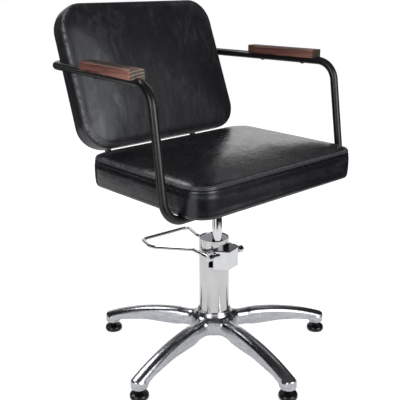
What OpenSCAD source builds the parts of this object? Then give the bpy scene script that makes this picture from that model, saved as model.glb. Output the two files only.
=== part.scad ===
// Hairdressing chair: swivelling upholstered seat on a foot-pumped column and a five-legged base.
// Millimetres. Z is up, the floor is Z = 0, the chair faces -Y and +X is on the right of a viewer
// who stands in front of it. The origin is on the floor under the middle of the chair's whole box.
// The swivel axis of the seat stands in front of the origin. The pump and the base stand behind and
// beside that axis, as the piston is off the pump's centre. Modules draw from the swivel axis.

/* [Place] */
// Swivel axis in front of the origin
axis_forward = 32; // [28:1:36]

/* [Seat cushion] */
// Height of the underside of the seat cushion
seat_under = 482; // [470:1:500]
// Width of the seat cushion
seat_w = 520; // [480:5:530]
// Distance of the front of the seat from the swivel axis
seat_front = 225; // [200:5:240]
// Distance of the back of the seat from the swivel axis
seat_rear = 175; // [160:5:178]
// Corner radius of the seat seen from above
seat_corner = 50; // [35:1:70]
// Height of the side band up to its top seam
seat_band = 67; // [60:1:72]
// Rise of the crown over the top seam
seat_crown = 17; // [10:1:20]
// Depth of the groove that the top seam draws in
seam_draw = 6; // [3:0.5:8]
// Thickness of the plywood board inside the seat
board_t = 12; // [9:1:15]
// Width of the cover turned in under the board
board_inset = 14; // [12:1:30]

/* [Back cushion] */
// Lean of the back from upright, degrees
back_lean = 20; // [15:1:22]
// Seat wider than the back's front seam, on each side
back_narrow = 25; // [22:0.5:50]
// Length of the back cushion along its slope
back_len = 350; // [320:5:380]
// Thickness from the front seam to the rear face
back_t = 57; // [54:1:58]
// Corner radius of the back cushion
back_corner = 48; // [35:1:60]
// Rise of the crown in front of the seam
back_crown = 12; // [6:1:14]
// Bulge of the side band
back_bulge = 4; // [2:0.5:5]
// Forward face of the back at its lower edge, behind the swivel axis
back_foot_y = 174; // [172:1:180]
// Height of that lower front edge
back_foot_z = 559; // [556:1:575]

/* [Tube frame] */
// Radius of the arm tube
tube_r = 9.5; // [8:0.25:9.5]
// Height of the arm tube's centre
arm_z = 747; // [720:1:760]
// Free space between the side of the seat and the front corner of the arm tube
arm_gap = 19.5; // [16.5:0.5:30.5]
// Front corners of the arms in front of the swivel axis
arm_front = 115; // [105:1:125]
// Angle by which each arm draws in towards the back, degrees
arm_splay = 5.3; // [4:0.1:5.8]
// Height of the cross tube's centre under the seat
cross_z = 470.5; // [462:0.5:471]
// Cross tube in front of the swivel axis
cross_front = 154; // [148:1:165]
// Bend radius of the arm tube's front corners
arm_bend = 50; // [40:1:60]
// Bend radius of its rear corners
hoop_bend = 32; // [28:1:34]
// Bend radius under the seat
foot_bend = 45; // [40:1:46]
// Radius of the two tubes that carry the back
back_tube_r = 8; // [7:0.25:8]
// Half the distance between those tubes
back_tube_half = 144; // [120:1:160]
// Bend radius of those tubes
back_tube_bend = 40; // [30:1:45]
// Height at which those tubes end
back_tube_top = 812; // [790:1:830]
// Part of each arm in front of the joint under the pad
joint_share = 0.37; // [0.34:0.01:0.4]

/* [Arm pads] */
// Length of an arm pad
pad_len = 214; // [190:2:220]
// Width of an arm pad
pad_w = 37; // [30:1:40]
// Height of an arm pad
pad_h = 20.5; // [18:0.5:24]
// Front of the pad behind the corner of the arm
pad_start = 48; // [44:1:56]
// Height of the pad's underside over the tube's centre
pad_lift = 6.3; // [5.5:0.1:7]
// Length of the taper on the inner rear edge
pad_taper_len = 33; // [20:1:40]
// Depth of that taper
pad_taper = 8; // [4:1:12]
// Chamfer along the upper edges
pad_chamfer = 2.5; // [1:0.5:4]
// Distance of each screw from the pad's end
pad_screw_inset = 43; // [35:1:50]

/* [Piston and seat plate] */
// Radius of the piston rod
rod_r = 12; // [10:0.25:12]
// Swivel axis to the left of the pump's centre
pump_x = 9.2; // [7:0.2:9.2]
// Swivel axis in front of the pump's centre
pump_y = 21.5; // [18:0.5:21.5]
// Height of the bottom of the piston rod
rod_low = 172; // [168:1:190]
// Length of the steel seat plate, front to back
plate_d = 200; // [160:5:220]
// Thickness of the seat plate
plate_t = 6; // [5:1:8]
// Length of the socket under the plate
socket_h = 44; // [36:1:50]
// Wall of the socket
socket_wall = 6; // [4:0.5:8]
// Wall of the swivel bush
bush_wall = 2; // [1.5:0.25:3]

/* [Pump] */
// Turn of the pump and the base against the seat in this pose, degrees
pump_turn = -4.7; // [-30:0.1:30]
// Outer radius of the pump's cover tube
cover_r = 39; // [38.9:0.1:42]
// Wall of the cover tube
cover_wall = 1.5; // [1:0.1:1.5]
// Height of the top of the cover tube
cover_top = 316; // [305:1:322]
// Drop of the cap inside the cover's rim
cap_drop = 1.5; // [1:0.25:3]
// Thickness of the cap
cap_t = 7; // [5:0.5:10]
// Height at which the gland stands over the cap
gland_rise = 3; // [2:0.5:5]
// Wall of the gland around the rod
gland_wall = 1; // [0.8:0.1:1]
// Wall of the ram tube
ram_wall = 1.5; // [1:0.1:1.5]
// Radial play of a running fit
run_fit = 0.05; // [0.02:0.01:0.08]
// Radial play of a screwed or loose fit
loose_fit = 0.08; // [0.05:0.01:0.09]
// Height of the pedal shaft's centre
shaft_z = 284; // [280:1:286]
// Pedal shaft in front of the pump's centre
shaft_y = 44.5; // [44.5:0.25:46]
// Radius of the pedal shaft
shaft_r = 5; // [4.5:0.1:5]
// Half the length of the pedal shaft
shaft_half = 56; // [54:0.5:60]
// Height of the side block
block_h = 48; // [44:1:52]
// Top of the side block over the shaft's centre
block_rise = 9.5; // [9:0.25:11]
// Thickness of the block's lid
lid_t = 3; // [2:0.5:4]

/* [Pedal] */
// Radius of the stirrup's rod
pedal_r = 4.6; // [4:0.1:5]
// Half the distance between the arms beside the pump
pedal_half = 49; // [48:0.5:52]
// Foot bar behind the pump's centre
pedal_reach = 227; // [210:1:240]
// Drop of the outer part of the stirrup, degrees
pedal_drop = 7.6; // [5:0.2:10]
// Start of the flaring part behind the pump's centre
pedal_knee = 25; // [20:1:30]

/* [Base] */
// Radius of the circle on which the glides stand
glide_circle = 300; // [270:5:320]
// Turn of the first leg against the pump, degrees
leg_first = -21; // [-36:0.5:36]
// Radius of the hub
hub_r = 58; // [56:1:64]
// Height of the hub's underside
hub_low = 57; // [54:1:60]
// Height of the hub's shoulder
hub_shoulder = 100; // [96:1:104]
// Height of the collar around the pump
collar_top = 119; // [114:1:124]
// Wall of that collar
collar_wall = 4.5; // [3.5:0.25:6]
// Thickness of the hub's floor under the pump
hub_floor = 10; // [8:1:12]
// Highest point of a leg
leg_crest_z = 101; // [98:1:104]
// Distance of that point from the pump's centre
leg_crest_r = 81; // [70:1:90]
// Radius of the arc along the top of a leg
leg_arc_r = 604; // [560:4:700]
// Width of a leg at its skirt
leg_w = 39; // [36:0.5:40]
// Radius of the round boss at the end of a leg
boss_r = 20; // [19:0.5:22]
// Height of the underside of the boss
boss_low = 27; // [26.5:0.5:30]

/* [Glides] */
// Radius of a glide
glide_r = 23.2; // [20:0.2:24]
// Height of the glide's disc
glide_h = 16.5; // [14:0.5:18]
// Top of the glide's neck above the floor
neck_top = 22; // [20:0.5:22]
// Radius of the neck
neck_r = 8.5; // [7.5:0.25:10]
// Radius of the threaded stem
stem_r = 5; // [4:0.25:5]
// Length of stem inside the leg
stem_grip = 20; // [14:1:21]
// Levelling travel of a glide
level_travel = 4; // [2:0.5:4]

/* [Fasteners] */
// Shank radius of the wood screws
screw_r = 2; // [1.5:0.25:2.5]
// Head radius of the dome screws
dome_r = 6; // [5:0.25:7]
// Free space around a dome head in its recess in the tube
spot_gap = 0.4; // [0.3:0.05:0.6]
// Height of the dome heads under or behind the tube
dome_h = 4.5; // [3.5:0.25:5]
// Depth of the screws in wood
screw_bite = 10; // [8:0.5:11]
// Shank radius of the machine bolts
bolt_r = 4; // [3:0.25:4]
// Head radius of the machine bolts
bolt_head_r = 6.5; // [6:0.25:7]
// Head height of the machine bolts
bolt_head_h = 5; // [4:0.25:6]

/* [Hidden] */
$fn = 64;
overrun = 1;
skin = 0.02;
// A bend is this much thicker than the straight bar, and the straights reach this far into it
bend_swell = 0.03;
bend_lap = 0.4;
black_leather = [0.12, 0.125, 0.135];
black_coat = [0.1, 0.1, 0.11];
black_plastic = [0.06, 0.06, 0.06];
polished_alloy = [0.8, 0.81, 0.83];
chrome = [0.75, 0.76, 0.77];
satin_dark = [0.36, 0.36, 0.38];
steel = [0.6, 0.61, 0.62];
bronze = [0.62, 0.5, 0.3];
varnished_wood = [0.42, 0.23, 0.2];
plywood = [0.72, 0.58, 0.4];
leg_count = 5;
leg_step = 360 / leg_count;

// Crown of a cushion: shares of the inset and of the rise, from the seam to the middle
crown_inset_shares = [0.045, 0.1, 0.2, 0.38, 0.68, 1];
crown_rise_shares = [0.16, 0.34, 0.54, 0.76, 0.94, 1];
// Corner radius lost per inset on the crown, and the least share of it that stays
crown_corner_share = 0.5;
least_corner_share = 0.25;
seat_crown_inset = 130;
back_crown_inset = 95;
// Side band of the seat: shares of its height, and what each level is drawn in by
seat_band_shares = [0, 0.08, 0.24, 0.62, 0.9, 1];
seat_band_draws = [8, 3, 1, 0, 2, seam_draw];
// Side band of the back: shares of its thickness, and shares of the bulge
back_band_shares = [0, 0.05, 0.14, 0.35, 0.7, 0.92, 1];
back_band_bulges = [-2.6, -1.2, 0, 0.9, 1, 0.4, -0.6];

seat_mid = (seat_rear - seat_front) / 2;
seat_d = seat_rear + seat_front;
back_w = seat_w - 2 * back_narrow;
// Half the distance between the front corners of the arms
arm_half = seat_w / 2 + arm_gap + tube_r;
rail_z = seat_under - back_tube_r - 0.5 * loose_fit;
plate_top = seat_under;
plate_under = plate_top - plate_t;
plate_half = back_tube_half - back_tube_r / 2;
washer_t = 2;
rod_top = plate_under - washer_t;
socket_in = rod_r + run_fit + bush_wall;
socket_out = socket_in + socket_wall;

// Small space between faces that are held together by screws
seat_gap = 0.1;
// Centres of the rear hoop and of the back tubes behind the front seam of the back
hoop_set = back_t + seat_gap + tube_r;
back_tube_set = hoop_set + tube_r + back_tube_r + seat_gap;
hoop_rear = back_foot_y + (hoop_set + (arm_z - back_foot_z) * sin(back_lean)) / cos(back_lean);
arm_y = -arm_front;
cross_y = -cross_front;
upright_y = arm_y - cross_y;
upright_z = arm_z - cross_z;
upright_lean = atan2(upright_y, upright_z);
cross_half = arm_half + upright_y * tan(arm_splay);
arm_run = (hoop_rear - arm_y) / cos(arm_splay);
joint_run = arm_run * joint_share;
hoop_half = arm_half - (hoop_rear - arm_y) * tan(arm_splay);

pad_end = pad_start + pad_len;
pad_screws = [pad_start + pad_screw_inset, pad_end - pad_screw_inset];
spot_r = dome_r + spot_gap;
spot_drop = sqrt(tube_r * tube_r - spot_r * spot_r);

cover_in = cover_r - cover_wall;
pump_floor = hub_low + hub_floor;
pump_foot_t = 10;
cap_top = cover_top - cap_drop;
cap_under = cap_top - cap_t;
gland_grip = 8;
gland_low = cap_under - gland_grip;
gland_in = rod_r + run_fit;
gland_out = gland_in + gland_wall;
ram_in = rod_r + loose_fit;
ram_out = ram_in + ram_wall;
block_top = shaft_z + block_rise;
block_low = block_top - block_h;

rocker_x = 18;
rocker_reach = 26;
rocker_w = 10;
rocker_r = 8;
nose_r = 4;
plunger_r = 5;
barrel_wall = 2;
barrel_drop = 22;
barrel_top = shaft_z - barrel_drop;
plunger_drop = 44;
plunger_low = shaft_z - plunger_drop;
plunger_y = rocker_reach - shaft_y;
pocket_gap = 1;

clamp_w = 13;
clamp_r = 9;
clamp_neck_r = 7.5;
clamp_neck = 24;
clamp_screw_r = 2.5;

knee_rise = 1;
knee_z = shaft_z + knee_rise;
// Small space between the clamp's shaft and the pedal's arm, and over the clamp's screw
clamp_gap = 0.5;
loop_slope = (pedal_reach - pedal_knee) / cos(pedal_drop);

stem_low = 12;
stem_top = boss_low + stem_grip;
blind_gap = 2;
stem_hole_top = stem_top + level_travel + blind_gap;

back_spacer_r = 7;
back_screw_r = 3;
spacer_low = 70;
spacer_high = 262;

// Heading from point a to point b, and the turn of a path at b
function heading(a, b) = atan2(b[1] - a[1], b[0] - a[0]);
function wrap(angle) = angle > 180 ? angle - 360 : (angle < -180 ? angle + 360 : angle);
function turn_at(a, b, c) = wrap(heading(b, c) - heading(a, b));
// Length of a straight lost to a bend of radius r at b
function setback(r, a, b, c) = r * tan(abs(turn_at(a, b, c)) / 2);
function away(p, angle, distance) = [p[0] + distance * cos(angle), p[1] + distance * sin(angle)];

// Straight round bar in the XY plane
module straight(r, a, b) {
  translate([a[0], a[1], 0])
    rotate([0, 0, heading(a, b)])
      rotate([0, 90, 0])
        cylinder(r = r, h = norm(b - a));
}

// Round bend that starts where the straight from a stops short of the corner b
module elbow(r, bend, a, b, c) {
  turn = turn_at(a, b, c);
  side = turn > 0 ? 1 : -1;
  start = away(b, heading(b, a), setback(bend, a, b, c));
  translate([start[0], start[1], 0])
    rotate([0, 0, heading(a, b)])
      translate([0, side * bend, 0])
        rotate([0, 0, -side * 90])
          rotate_extrude(angle = turn)
            translate([bend, 0])
              circle(r = r + bend_swell);
}

// Round bar bent along a flat path, each inner corner with its own bend radius
module bent_bar(r, path, bends) {
  last = len(path) - 1;
  cut = [for (i = [0:last]) (i == 0 || i == last) ? 0
    : setback(bends[i - 1], path[i - 1], path[i], path[i + 1])];
  for (i = [0:last - 1])
    straight(r, away(path[i], heading(path[i], path[i + 1]), max(cut[i] - bend_lap, 0)),
      away(path[i + 1], heading(path[i + 1], path[i]), max(cut[i + 1] - bend_lap, 0)));
  for (i = [1:last - 1])
    elbow(r, bends[i - 1], path[i - 1], path[i], path[i + 1]);
}

// Thin plate with rounded corners at height z
module cushion_level(w, d, corner, z) {
  translate([0, 0, z])
    linear_extrude(height = skin) {
      square([w - 2 * corner, d], center = true);
      square([w, d - 2 * corner], center = true);
      for (x = [-1, 1])
        for (y = [-1, 1])
          translate([x * (w / 2 - corner), y * (d / 2 - corner)])
            circle(r = corner, $fn = 36);
    }
}

// Crowned upper part of a cushion, from its seam upwards
module crown(w, d, corner, rise, inset, draw) {
  hull() {
    cushion_level(w - 2 * draw, d - 2 * draw, corner - draw, 0);
    for (i = [0:len(crown_inset_shares) - 1])
      crown_level(w, d, corner, rise * crown_rise_shares[i] - skin, inset * crown_inset_shares[i], draw);
  }
}

module crown_level(w, d, corner, z, inset, draw) {
  in = inset + draw * crown_rise_shares[0];
  cushion_level(w - 2 * in, d - 2 * in,
    max(corner - in * crown_corner_share, corner * least_corner_share), z);
}

// Brings the foot of the swivel axis to its place in front of the origin
module from_axis() {
  translate([0, -axis_forward, 0])
    children();
}

// Places things that belong to the pump and the base
module on_pump() {
  translate([pump_x, pump_y, 0])
    rotate([0, 0, pump_turn])
      children();
}

// Swivel axis seen from the pump
module on_rod() {
  rotate([0, 0, -pump_turn])
    translate([-pump_x, -pump_y, 0])
      children();
}

module on_leg(n) {
  on_pump()
    rotate([0, 0, leg_first + n * leg_step])
      children();
}

// Sloping plane of the back: X across, Y up the slope, Z out of the front
module on_back() {
  translate([0, back_foot_y, back_foot_z])
    rotate([90 - back_lean, 0, 0])
      children();
}

// Frame of the left arm: X along the arm to the rear, Y outwards, Z up
module on_arm() {
  translate([-arm_half, arm_y, arm_z])
    rotate([0, 0, 90 - arm_splay])
      children();
}

module both_sides() {
  children();
  mirror([1, 0, 0])
    children();
}

// Base

leg_top_x = glide_circle + boss_r + overrun;
leg_arc_start = 62;
leg_arc_sweep = 34;
boss_h = 20;
// Section of a leg from its crest down to its skirt: drop and half width as shares of its width
leg_section_shares = [
  [0.01, 0.154], [0.051, 0.282], [0.141, 0.385], [0.282, 0.449], [0.487, 0.469], [0.538, 0.469],
  [0.577, 0.5]
];

module leg_section() {
  half = concat([for (s = leg_section_shares) [leg_arc_r - s[0] * leg_w, s[1] * leg_w]],
    [[leg_arc_r - leg_crest_z, leg_w / 2]]);
  other = [for (i = [len(half) - 1:-1:0]) [half[i][0], -half[i][1]]];
  polygon(concat(half, other, [[leg_arc_r, 0]]));
}

// Underside of a leg seen from the side: shares of the glide circle's radius and of the crest
leg_side_shares = [
  [0.1, 0.565], [0.6, 0.565], [0.7, 0.535], [0.8, 0.49], [0.9, 0.43], [0.95, 0.36]
];

module leg_side() {
  low = [for (s = leg_side_shares) [s[0] * glide_circle, s[1] * leg_crest_z]];
  polygon(concat(low, [
    [glide_circle - boss_r / 2, boss_low],
    [leg_top_x, boss_low],
    [leg_top_x, leg_crest_z + overrun],
    [low[0][0], leg_crest_z + overrun]
  ]));
}

module leg() {
  intersection() {
    translate([leg_crest_r, 0, leg_crest_z - leg_arc_r])
      rotate([90, 0, 0])
        rotate([0, 0, leg_arc_start])
          rotate_extrude(angle = leg_arc_sweep, $fn = 96)
            leg_section();
    rotate([90, 0, 0])
      linear_extrude(height = 2 * leg_w, center = true)
        leg_side();
    linear_extrude(height = leg_crest_z + 2 * overrun) {
      translate([0, -leg_w / 2])
        square([glide_circle, leg_w]);
      translate([glide_circle, 0])
        circle(r = leg_w / 2);
    }
  }
  translate([glide_circle, 0, boss_low])
    cylinder(r = boss_r, h = boss_h);
}

module hub() {
  collar_r = cover_r + collar_wall;
  rotate_extrude()
    polygon([
      [0, hub_low],
      [hub_r, hub_low],
      [hub_r, hub_shoulder],
      [collar_r + collar_wall, hub_shoulder + collar_wall],
      [collar_r, collar_top - collar_wall],
      [collar_r, collar_top],
      [0, collar_top]
    ]);
}

module base_star() {
  color(polished_alloy) from_axis()
    on_pump()
      difference() {
        union() {
          hub();
          for (n = [0:leg_count - 1])
            rotate([0, 0, leg_first + n * leg_step])
              leg();
        }
        translate([0, 0, pump_floor])
          cylinder(r = cover_r + loose_fit, h = collar_top);
        at_pump_bolts()
          translate([0, 0, hub_low - overrun])
            cylinder(r = bolt_r + loose_fit, h = hub_floor + 2 * overrun);
        for (n = [0:leg_count - 1])
          rotate([0, 0, leg_first + n * leg_step])
            translate([glide_circle, 0, boss_low - overrun])
              cylinder(r = stem_r + loose_fit, h = stem_hole_top - boss_low + overrun);
      }
}

// Side of a glide from the floor up: shares of its radius and of its height
glide_profile_shares = [[0.8, 0], [0.94, 0.1], [1, 0.3], [1, 0.6], [0.92, 0.82], [0.65, 0.95]];

module glide_foot(n) {
  color(black_plastic) from_axis()
    on_leg(n)
      translate([glide_circle, 0, 0])
        rotate_extrude()
          polygon(concat(
            [[0, stem_low], [0, 0]],
            [for (s = glide_profile_shares) [s[0] * glide_r, s[1] * glide_h]],
            [[neck_r, glide_h], [neck_r, neck_top], [stem_r, neck_top], [stem_r, stem_low]]
          ));
}

module glide_stem(n) {
  color(steel) from_axis()
    on_leg(n)
      translate([glide_circle, 0, stem_low])
        cylinder(r = stem_r, h = stem_top - stem_low);
}

module glide_foot_1() { glide_foot(0); }
module glide_foot_2() { glide_foot(1); }
module glide_foot_3() { glide_foot(2); }
module glide_foot_4() { glide_foot(3); }
module glide_foot_5() { glide_foot(4); }
module glide_stem_1() { glide_stem(0); }
module glide_stem_2() { glide_stem(1); }
module glide_stem_3() { glide_stem(2); }
module glide_stem_4() { glide_stem(3); }
module glide_stem_5() { glide_stem(4); }

// Pump

pump_bolt_circle = 30;
module at_pump_bolts() {
  for (a = [45:90:315])
    rotate([0, 0, a])
      translate([pump_bolt_circle, 0, 0])
        children();
}

module pump_foot() {
  color(steel) from_axis()
    on_pump()
      difference() {
        translate([0, 0, pump_floor])
          cylinder(r = cover_in, h = pump_foot_t);
        at_pump_bolts()
          translate([0, 0, pump_floor - overrun])
            cylinder(r = bolt_r, h = pump_foot_t - blind_gap + overrun);
      }
}

module pump_bolts() {
  color(steel) from_axis()
    on_pump()
      at_pump_bolts() {
        translate([0, 0, hub_low - bolt_head_h])
          cylinder(r = bolt_head_r, h = bolt_head_h);
        translate([0, 0, hub_low])
          cylinder(r = bolt_r, h = hub_floor + pump_foot_t - blind_gap);
      }
}

slot_w = 12;
slot_h = 18;
slot_z = 246;
slot_azimuth = -141;
window_w = 12;
window_drop = 11;
window_low = shaft_z - window_drop;
window_high = shaft_z + block_rise;

module pump_cover() {
  color(chrome) from_axis()
    on_pump()
      difference() {
        translate([0, 0, pump_floor])
          cylinder(r = cover_r, h = cover_top - pump_floor);
        translate([0, 0, pump_floor - overrun])
          cylinder(r = cover_in, h = cover_top);
        translate([rocker_x - window_w / 2, -cover_r - overrun, window_low])
          cube([window_w, cover_r, window_high - window_low]);
        rotate([0, 0, slot_azimuth])
          translate([cover_in / 2, -slot_w / 2, slot_z])
            cube([cover_r, slot_w, slot_h]);
      }
}

module pump_cap() {
  color(satin_dark) from_axis()
    on_pump()
      difference() {
        translate([0, 0, cap_under])
          cylinder(r = cover_in, h = cap_t);
        on_rod()
          translate([0, 0, cap_under - overrun])
            cylinder(r = gland_out, h = cap_t + 2 * overrun);
      }
}

module ram_tube() {
  low = pump_floor + pump_foot_t;
  color(steel) from_axis()
    difference() {
      translate([0, 0, low])
        cylinder(r = ram_out, h = gland_low - low);
      translate([0, 0, low - overrun])
        cylinder(r = ram_in, h = gland_low - low + 2 * overrun);
    }
}

module gland_bush() {
  color(black_plastic) from_axis()
    difference() {
      translate([0, 0, gland_low])
        cylinder(r = gland_out, h = cap_top + gland_rise - gland_low);
      translate([0, 0, gland_low - overrun])
        cylinder(r = gland_in, h = cap_top + gland_rise - gland_low + 2 * overrun);
    }
}

module plunger_barrel() {
  low = pump_floor + pump_foot_t;
  color(steel) from_axis()
    on_pump()
      translate([rocker_x, plunger_y, 0])
        difference() {
          translate([0, 0, low])
            cylinder(r = plunger_r + run_fit + barrel_wall, h = barrel_top - low);
          translate([0, 0, low - overrun])
            cylinder(r = plunger_r + run_fit, h = barrel_top);
        }
}

block_right = 37;
block_front = -52;
block_corner = [-4, -66];
block_left = [-30, -36];

// Outline of the side block with the side of the pump cut away
module block_plan(pinch) {
  difference() {
    polygon([
      [0, 0],
      [block_right - pinch, 0],
      [block_right - pinch, block_front + pinch],
      [block_corner[0], block_corner[1] + pinch],
      [block_left[0] + pinch, block_left[1]]
    ]);
    circle(r = cover_r);
  }
}

module side_block() {
  color(chrome) from_axis()
    on_pump()
      difference() {
        translate([0, 0, block_low])
          linear_extrude(height = block_h)
            block_plan(0);
        translate([-shaft_half, -shaft_y, shaft_z])
          rotate([0, 90, 0])
            cylinder(r = shaft_r + run_fit, h = 2 * shaft_half);
        translate([rocker_x - rocker_w / 2 - pocket_gap, -shaft_y - rocker_r - pocket_gap, window_low])
          cube([rocker_w + 2 * pocket_gap, shaft_y, block_h]);
      }
}

module block_lid() {
  color(black_coat) from_axis()
    on_pump()
      translate([0, 0, block_top])
        linear_extrude(height = lid_t)
          block_plan(pocket_gap);
}

module piston_rod() {
  color(chrome) from_axis()
    translate([0, 0, rod_low])
      cylinder(r = rod_r, h = rod_top - rod_low);
}

module pump_plunger() {
  color(steel) from_axis()
    on_pump()
      translate([rocker_x, plunger_y, plunger_low])
        cylinder(r = plunger_r, h = shaft_z - nose_r - plunger_low);
}

// Pedal

module pedal_shaft() {
  color(chrome) from_axis()
    on_pump()
      translate([-shaft_half, -shaft_y, shaft_z])
        rotate([0, 90, 0])
          cylinder(r = shaft_r, h = 2 * shaft_half);
}

module pedal_rocker() {
  color(steel) from_axis()
    on_pump()
      translate([rocker_x - rocker_w / 2, -shaft_y, shaft_z])
        difference() {
          union() {
            rotate([0, 90, 0])
              cylinder(r = rocker_r, h = rocker_w);
            translate([0, rocker_reach, 0])
              rotate([0, 90, 0])
                cylinder(r = nose_r, h = rocker_w);
            translate([0, 0, -nose_r])
              cube([rocker_w, rocker_reach, 2 * nose_r]);
          }
          translate([-overrun, 0, 0])
            rotate([0, 90, 0])
              cylinder(r = shaft_r, h = rocker_w + 2 * overrun);
        }
}

module pedal_clamp() {
  difference() {
    union() {
      translate([pedal_half - clamp_w / 2, -shaft_y, shaft_z])
        rotate([0, 90, 0])
          cylinder(r = clamp_r, h = clamp_w);
      translate([pedal_half, -shaft_y, shaft_z])
        rotate([-90, 0, 0])
          cylinder(r = clamp_neck_r, h = clamp_neck);
    }
    translate([0, -shaft_y, shaft_z])
      rotate([0, 90, 0])
        cylinder(r = shaft_r, h = 2 * shaft_half);
    translate([pedal_half, -shaft_y, knee_z])
      rotate([-90, 0, 0])
        cylinder(r = pedal_r, h = clamp_neck + overrun);
    at_clamp_screw()
      cylinder(r = clamp_screw_r, h = clamp_r);
  }
}

module at_clamp_screw() {
  translate([pedal_half, -shaft_y, shaft_z + shaft_r])
    children();
}

module pedal_clamp_left() {
  color(chrome) from_axis()
    on_pump()
      mirror([1, 0, 0])
        pedal_clamp();
}

module pedal_clamp_right() {
  color(chrome) from_axis()
    on_pump()
      pedal_clamp();
}

module clamp_screws() {
  color(steel) from_axis()
    on_pump()
      both_sides()
        at_clamp_screw()
          cylinder(r = clamp_screw_r, h = clamp_r - shaft_r - clamp_gap);
}

// Corners of the stirrup as shares of its slope length and of the distance between its arms
loop_shares = [[0.58, -1.04], [1, -0.745], [1, 0.857], [0.5, 0.44]];
loop_bends = [52, 22, 14, 30];

module pedal_stirrup() {
  path = concat([[0, -pedal_half]],
    [for (s = loop_shares) [s[0] * loop_slope, s[1] * 2 * pedal_half]],
    [[0, pedal_half]]);
  color(chrome) from_axis()
    on_pump() {
      for (x = [-1, 1])
        translate([x * pedal_half, shaft_r + clamp_gap - shaft_y, knee_z])
          rotate([-90, 0, 0])
            cylinder(r = pedal_r, h = pedal_knee + shaft_y - shaft_r - clamp_gap);
      for (x = [-1, 1])
        translate([x * pedal_half, pedal_knee, knee_z])
          sphere(r = pedal_r + bend_swell);
      translate([0, pedal_knee, knee_z])
        rotate([-pedal_drop, 0, 0])
          rotate([0, 0, 90])
            mirror([0, 1, 0])
              bent_bar(pedal_r, path, loop_bends);
    }
}

// Seat support

module swivel_socket() {
  color(black_coat) from_axis()
    difference() {
      translate([0, 0, plate_under - socket_h])
        cylinder(r = socket_out, h = socket_h);
      translate([0, 0, plate_under - socket_h - overrun])
        cylinder(r = socket_in, h = socket_h + 2 * overrun);
    }
}

module swivel_bush() {
  color(bronze) from_axis()
    difference() {
      translate([0, 0, plate_under - socket_h])
        cylinder(r = socket_in, h = socket_h - washer_t);
      translate([0, 0, plate_under - socket_h - overrun])
        cylinder(r = rod_r + run_fit, h = socket_h + 2 * overrun);
    }
}

module thrust_washer() {
  color(bronze) from_axis()
    translate([0, 0, rod_top])
      cylinder(r = socket_in, h = washer_t);
}

seat_bolt_x = 110;
seat_bolt_y = 75;
module at_seat_bolts() {
  for (x = [-1, 1])
    for (y = [-1, 1])
      translate([x * seat_bolt_x, y * seat_bolt_y, 0])
        children();
}

module seat_plate() {
  color(black_coat) from_axis()
    difference() {
      translate([-plate_half, -plate_d / 2, plate_under])
        cube([2 * plate_half, plate_d, plate_t]);
      at_seat_bolts()
        translate([0, 0, plate_under - overrun])
          cylinder(r = bolt_r + loose_fit, h = plate_t + 2 * overrun);
      at_rail(-1)
        rail_bar();
      at_rail(1)
        rail_bar();
    }
}

module seat_bolts() {
  color(steel) from_axis()
    at_seat_bolts() {
      translate([0, 0, plate_under - bolt_head_h])
        cylinder(r = bolt_head_r, h = bolt_head_h);
      translate([0, 0, plate_under])
        cylinder(r = bolt_r, h = plate_t + screw_bite);
    }
}

module seat_board() {
  color(plywood) from_axis()
    difference() {
      seat_board_blank();
      at_seat_bolts()
        translate([0, 0, seat_under - overrun])
          cylinder(r = bolt_r, h = screw_bite + overrun);
    }
}

module seat_board_blank() {
  translate([0, seat_mid, seat_under])
    linear_extrude(height = board_t)
      round_plan(seat_w - 2 * board_inset, seat_d - 2 * board_inset, seat_corner - board_inset);
}

module round_plan(w, d, corner) {
  square([w - 2 * corner, d], center = true);
  square([w, d - 2 * corner], center = true);
  for (x = [-1, 1])
    for (y = [-1, 1])
      translate([x * (w / 2 - corner), y * (d / 2 - corner)])
        circle(r = corner, $fn = 36);
}

module seat_cushion() {
  color(black_leather) from_axis()
    difference() {
      union() {
        translate([0, seat_mid, seat_under])
          hull()
            for (i = [0:len(seat_band_shares) - 1])
              cushion_level(seat_w - 2 * seat_band_draws[i], seat_d - 2 * seat_band_draws[i],
                seat_corner - seat_band_draws[i], (seat_band - skin) * seat_band_shares[i]);
        translate([0, seat_mid, seat_under + seat_band - skin])
          crown(seat_w, seat_d, seat_corner, seat_crown, seat_crown_inset, seam_draw);
      }
      translate([0, 0, -skin])
        seat_board_blank();
      seat_board_blank();
    }
}

// Back

back_mid = back_len / 2;
back_board_inset = 16;

module back_board_blank() {
  on_back()
    translate([0, back_mid, -back_t])
      linear_extrude(height = board_t)
        round_plan(back_w - 2 * back_board_inset, back_len - 2 * back_board_inset,
          back_corner - back_board_inset);
}

module at_back_spacers() {
  for (x = [-1, 1])
    for (y = [spacer_low, spacer_high])
      translate([x * back_tube_half, y, -back_t])
        children();
}

hoop_screw_x = 80;
module at_hoop_screws() {
  for (x = [-1, 1])
    translate([x * hoop_screw_x, hoop_rear, arm_z])
      rotate([90 - back_lean, 0, 0])
        children();
}

module back_board() {
  color(plywood) from_axis()
    difference() {
      back_board_blank();
      on_back()
        at_back_spacers()
          translate([0, 0, -overrun])
            cylinder(r = back_screw_r, h = screw_bite + overrun);
      at_hoop_screws()
        cylinder(r = screw_r, h = tube_r + screw_bite);
    }
}

module back_cushion() {
  color(black_leather) from_axis()
    difference() {
      on_back()
        translate([0, back_mid, 0]) {
          translate([0, 0, -back_t])
            hull()
              for (i = [0:len(back_band_shares) - 1])
                cushion_level(back_w + 2 * back_bulge * back_band_bulges[i],
                  back_len + 2 * back_bulge * back_band_bulges[i],
                  back_corner + back_bulge * back_band_bulges[i],
                  (back_t - skin) * back_band_shares[i]);
          translate([0, 0, -skin])
            crown(back_w, back_len, back_corner, back_crown, back_crown_inset, back_bulge);
        }
      back_board_blank();
      on_back()
        translate([0, back_mid, -back_t - overrun])
          linear_extrude(height = overrun + skin)
            round_plan(back_w - 2 * back_board_inset, back_len - 2 * back_board_inset,
              back_corner - back_board_inset);
    }
}

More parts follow.
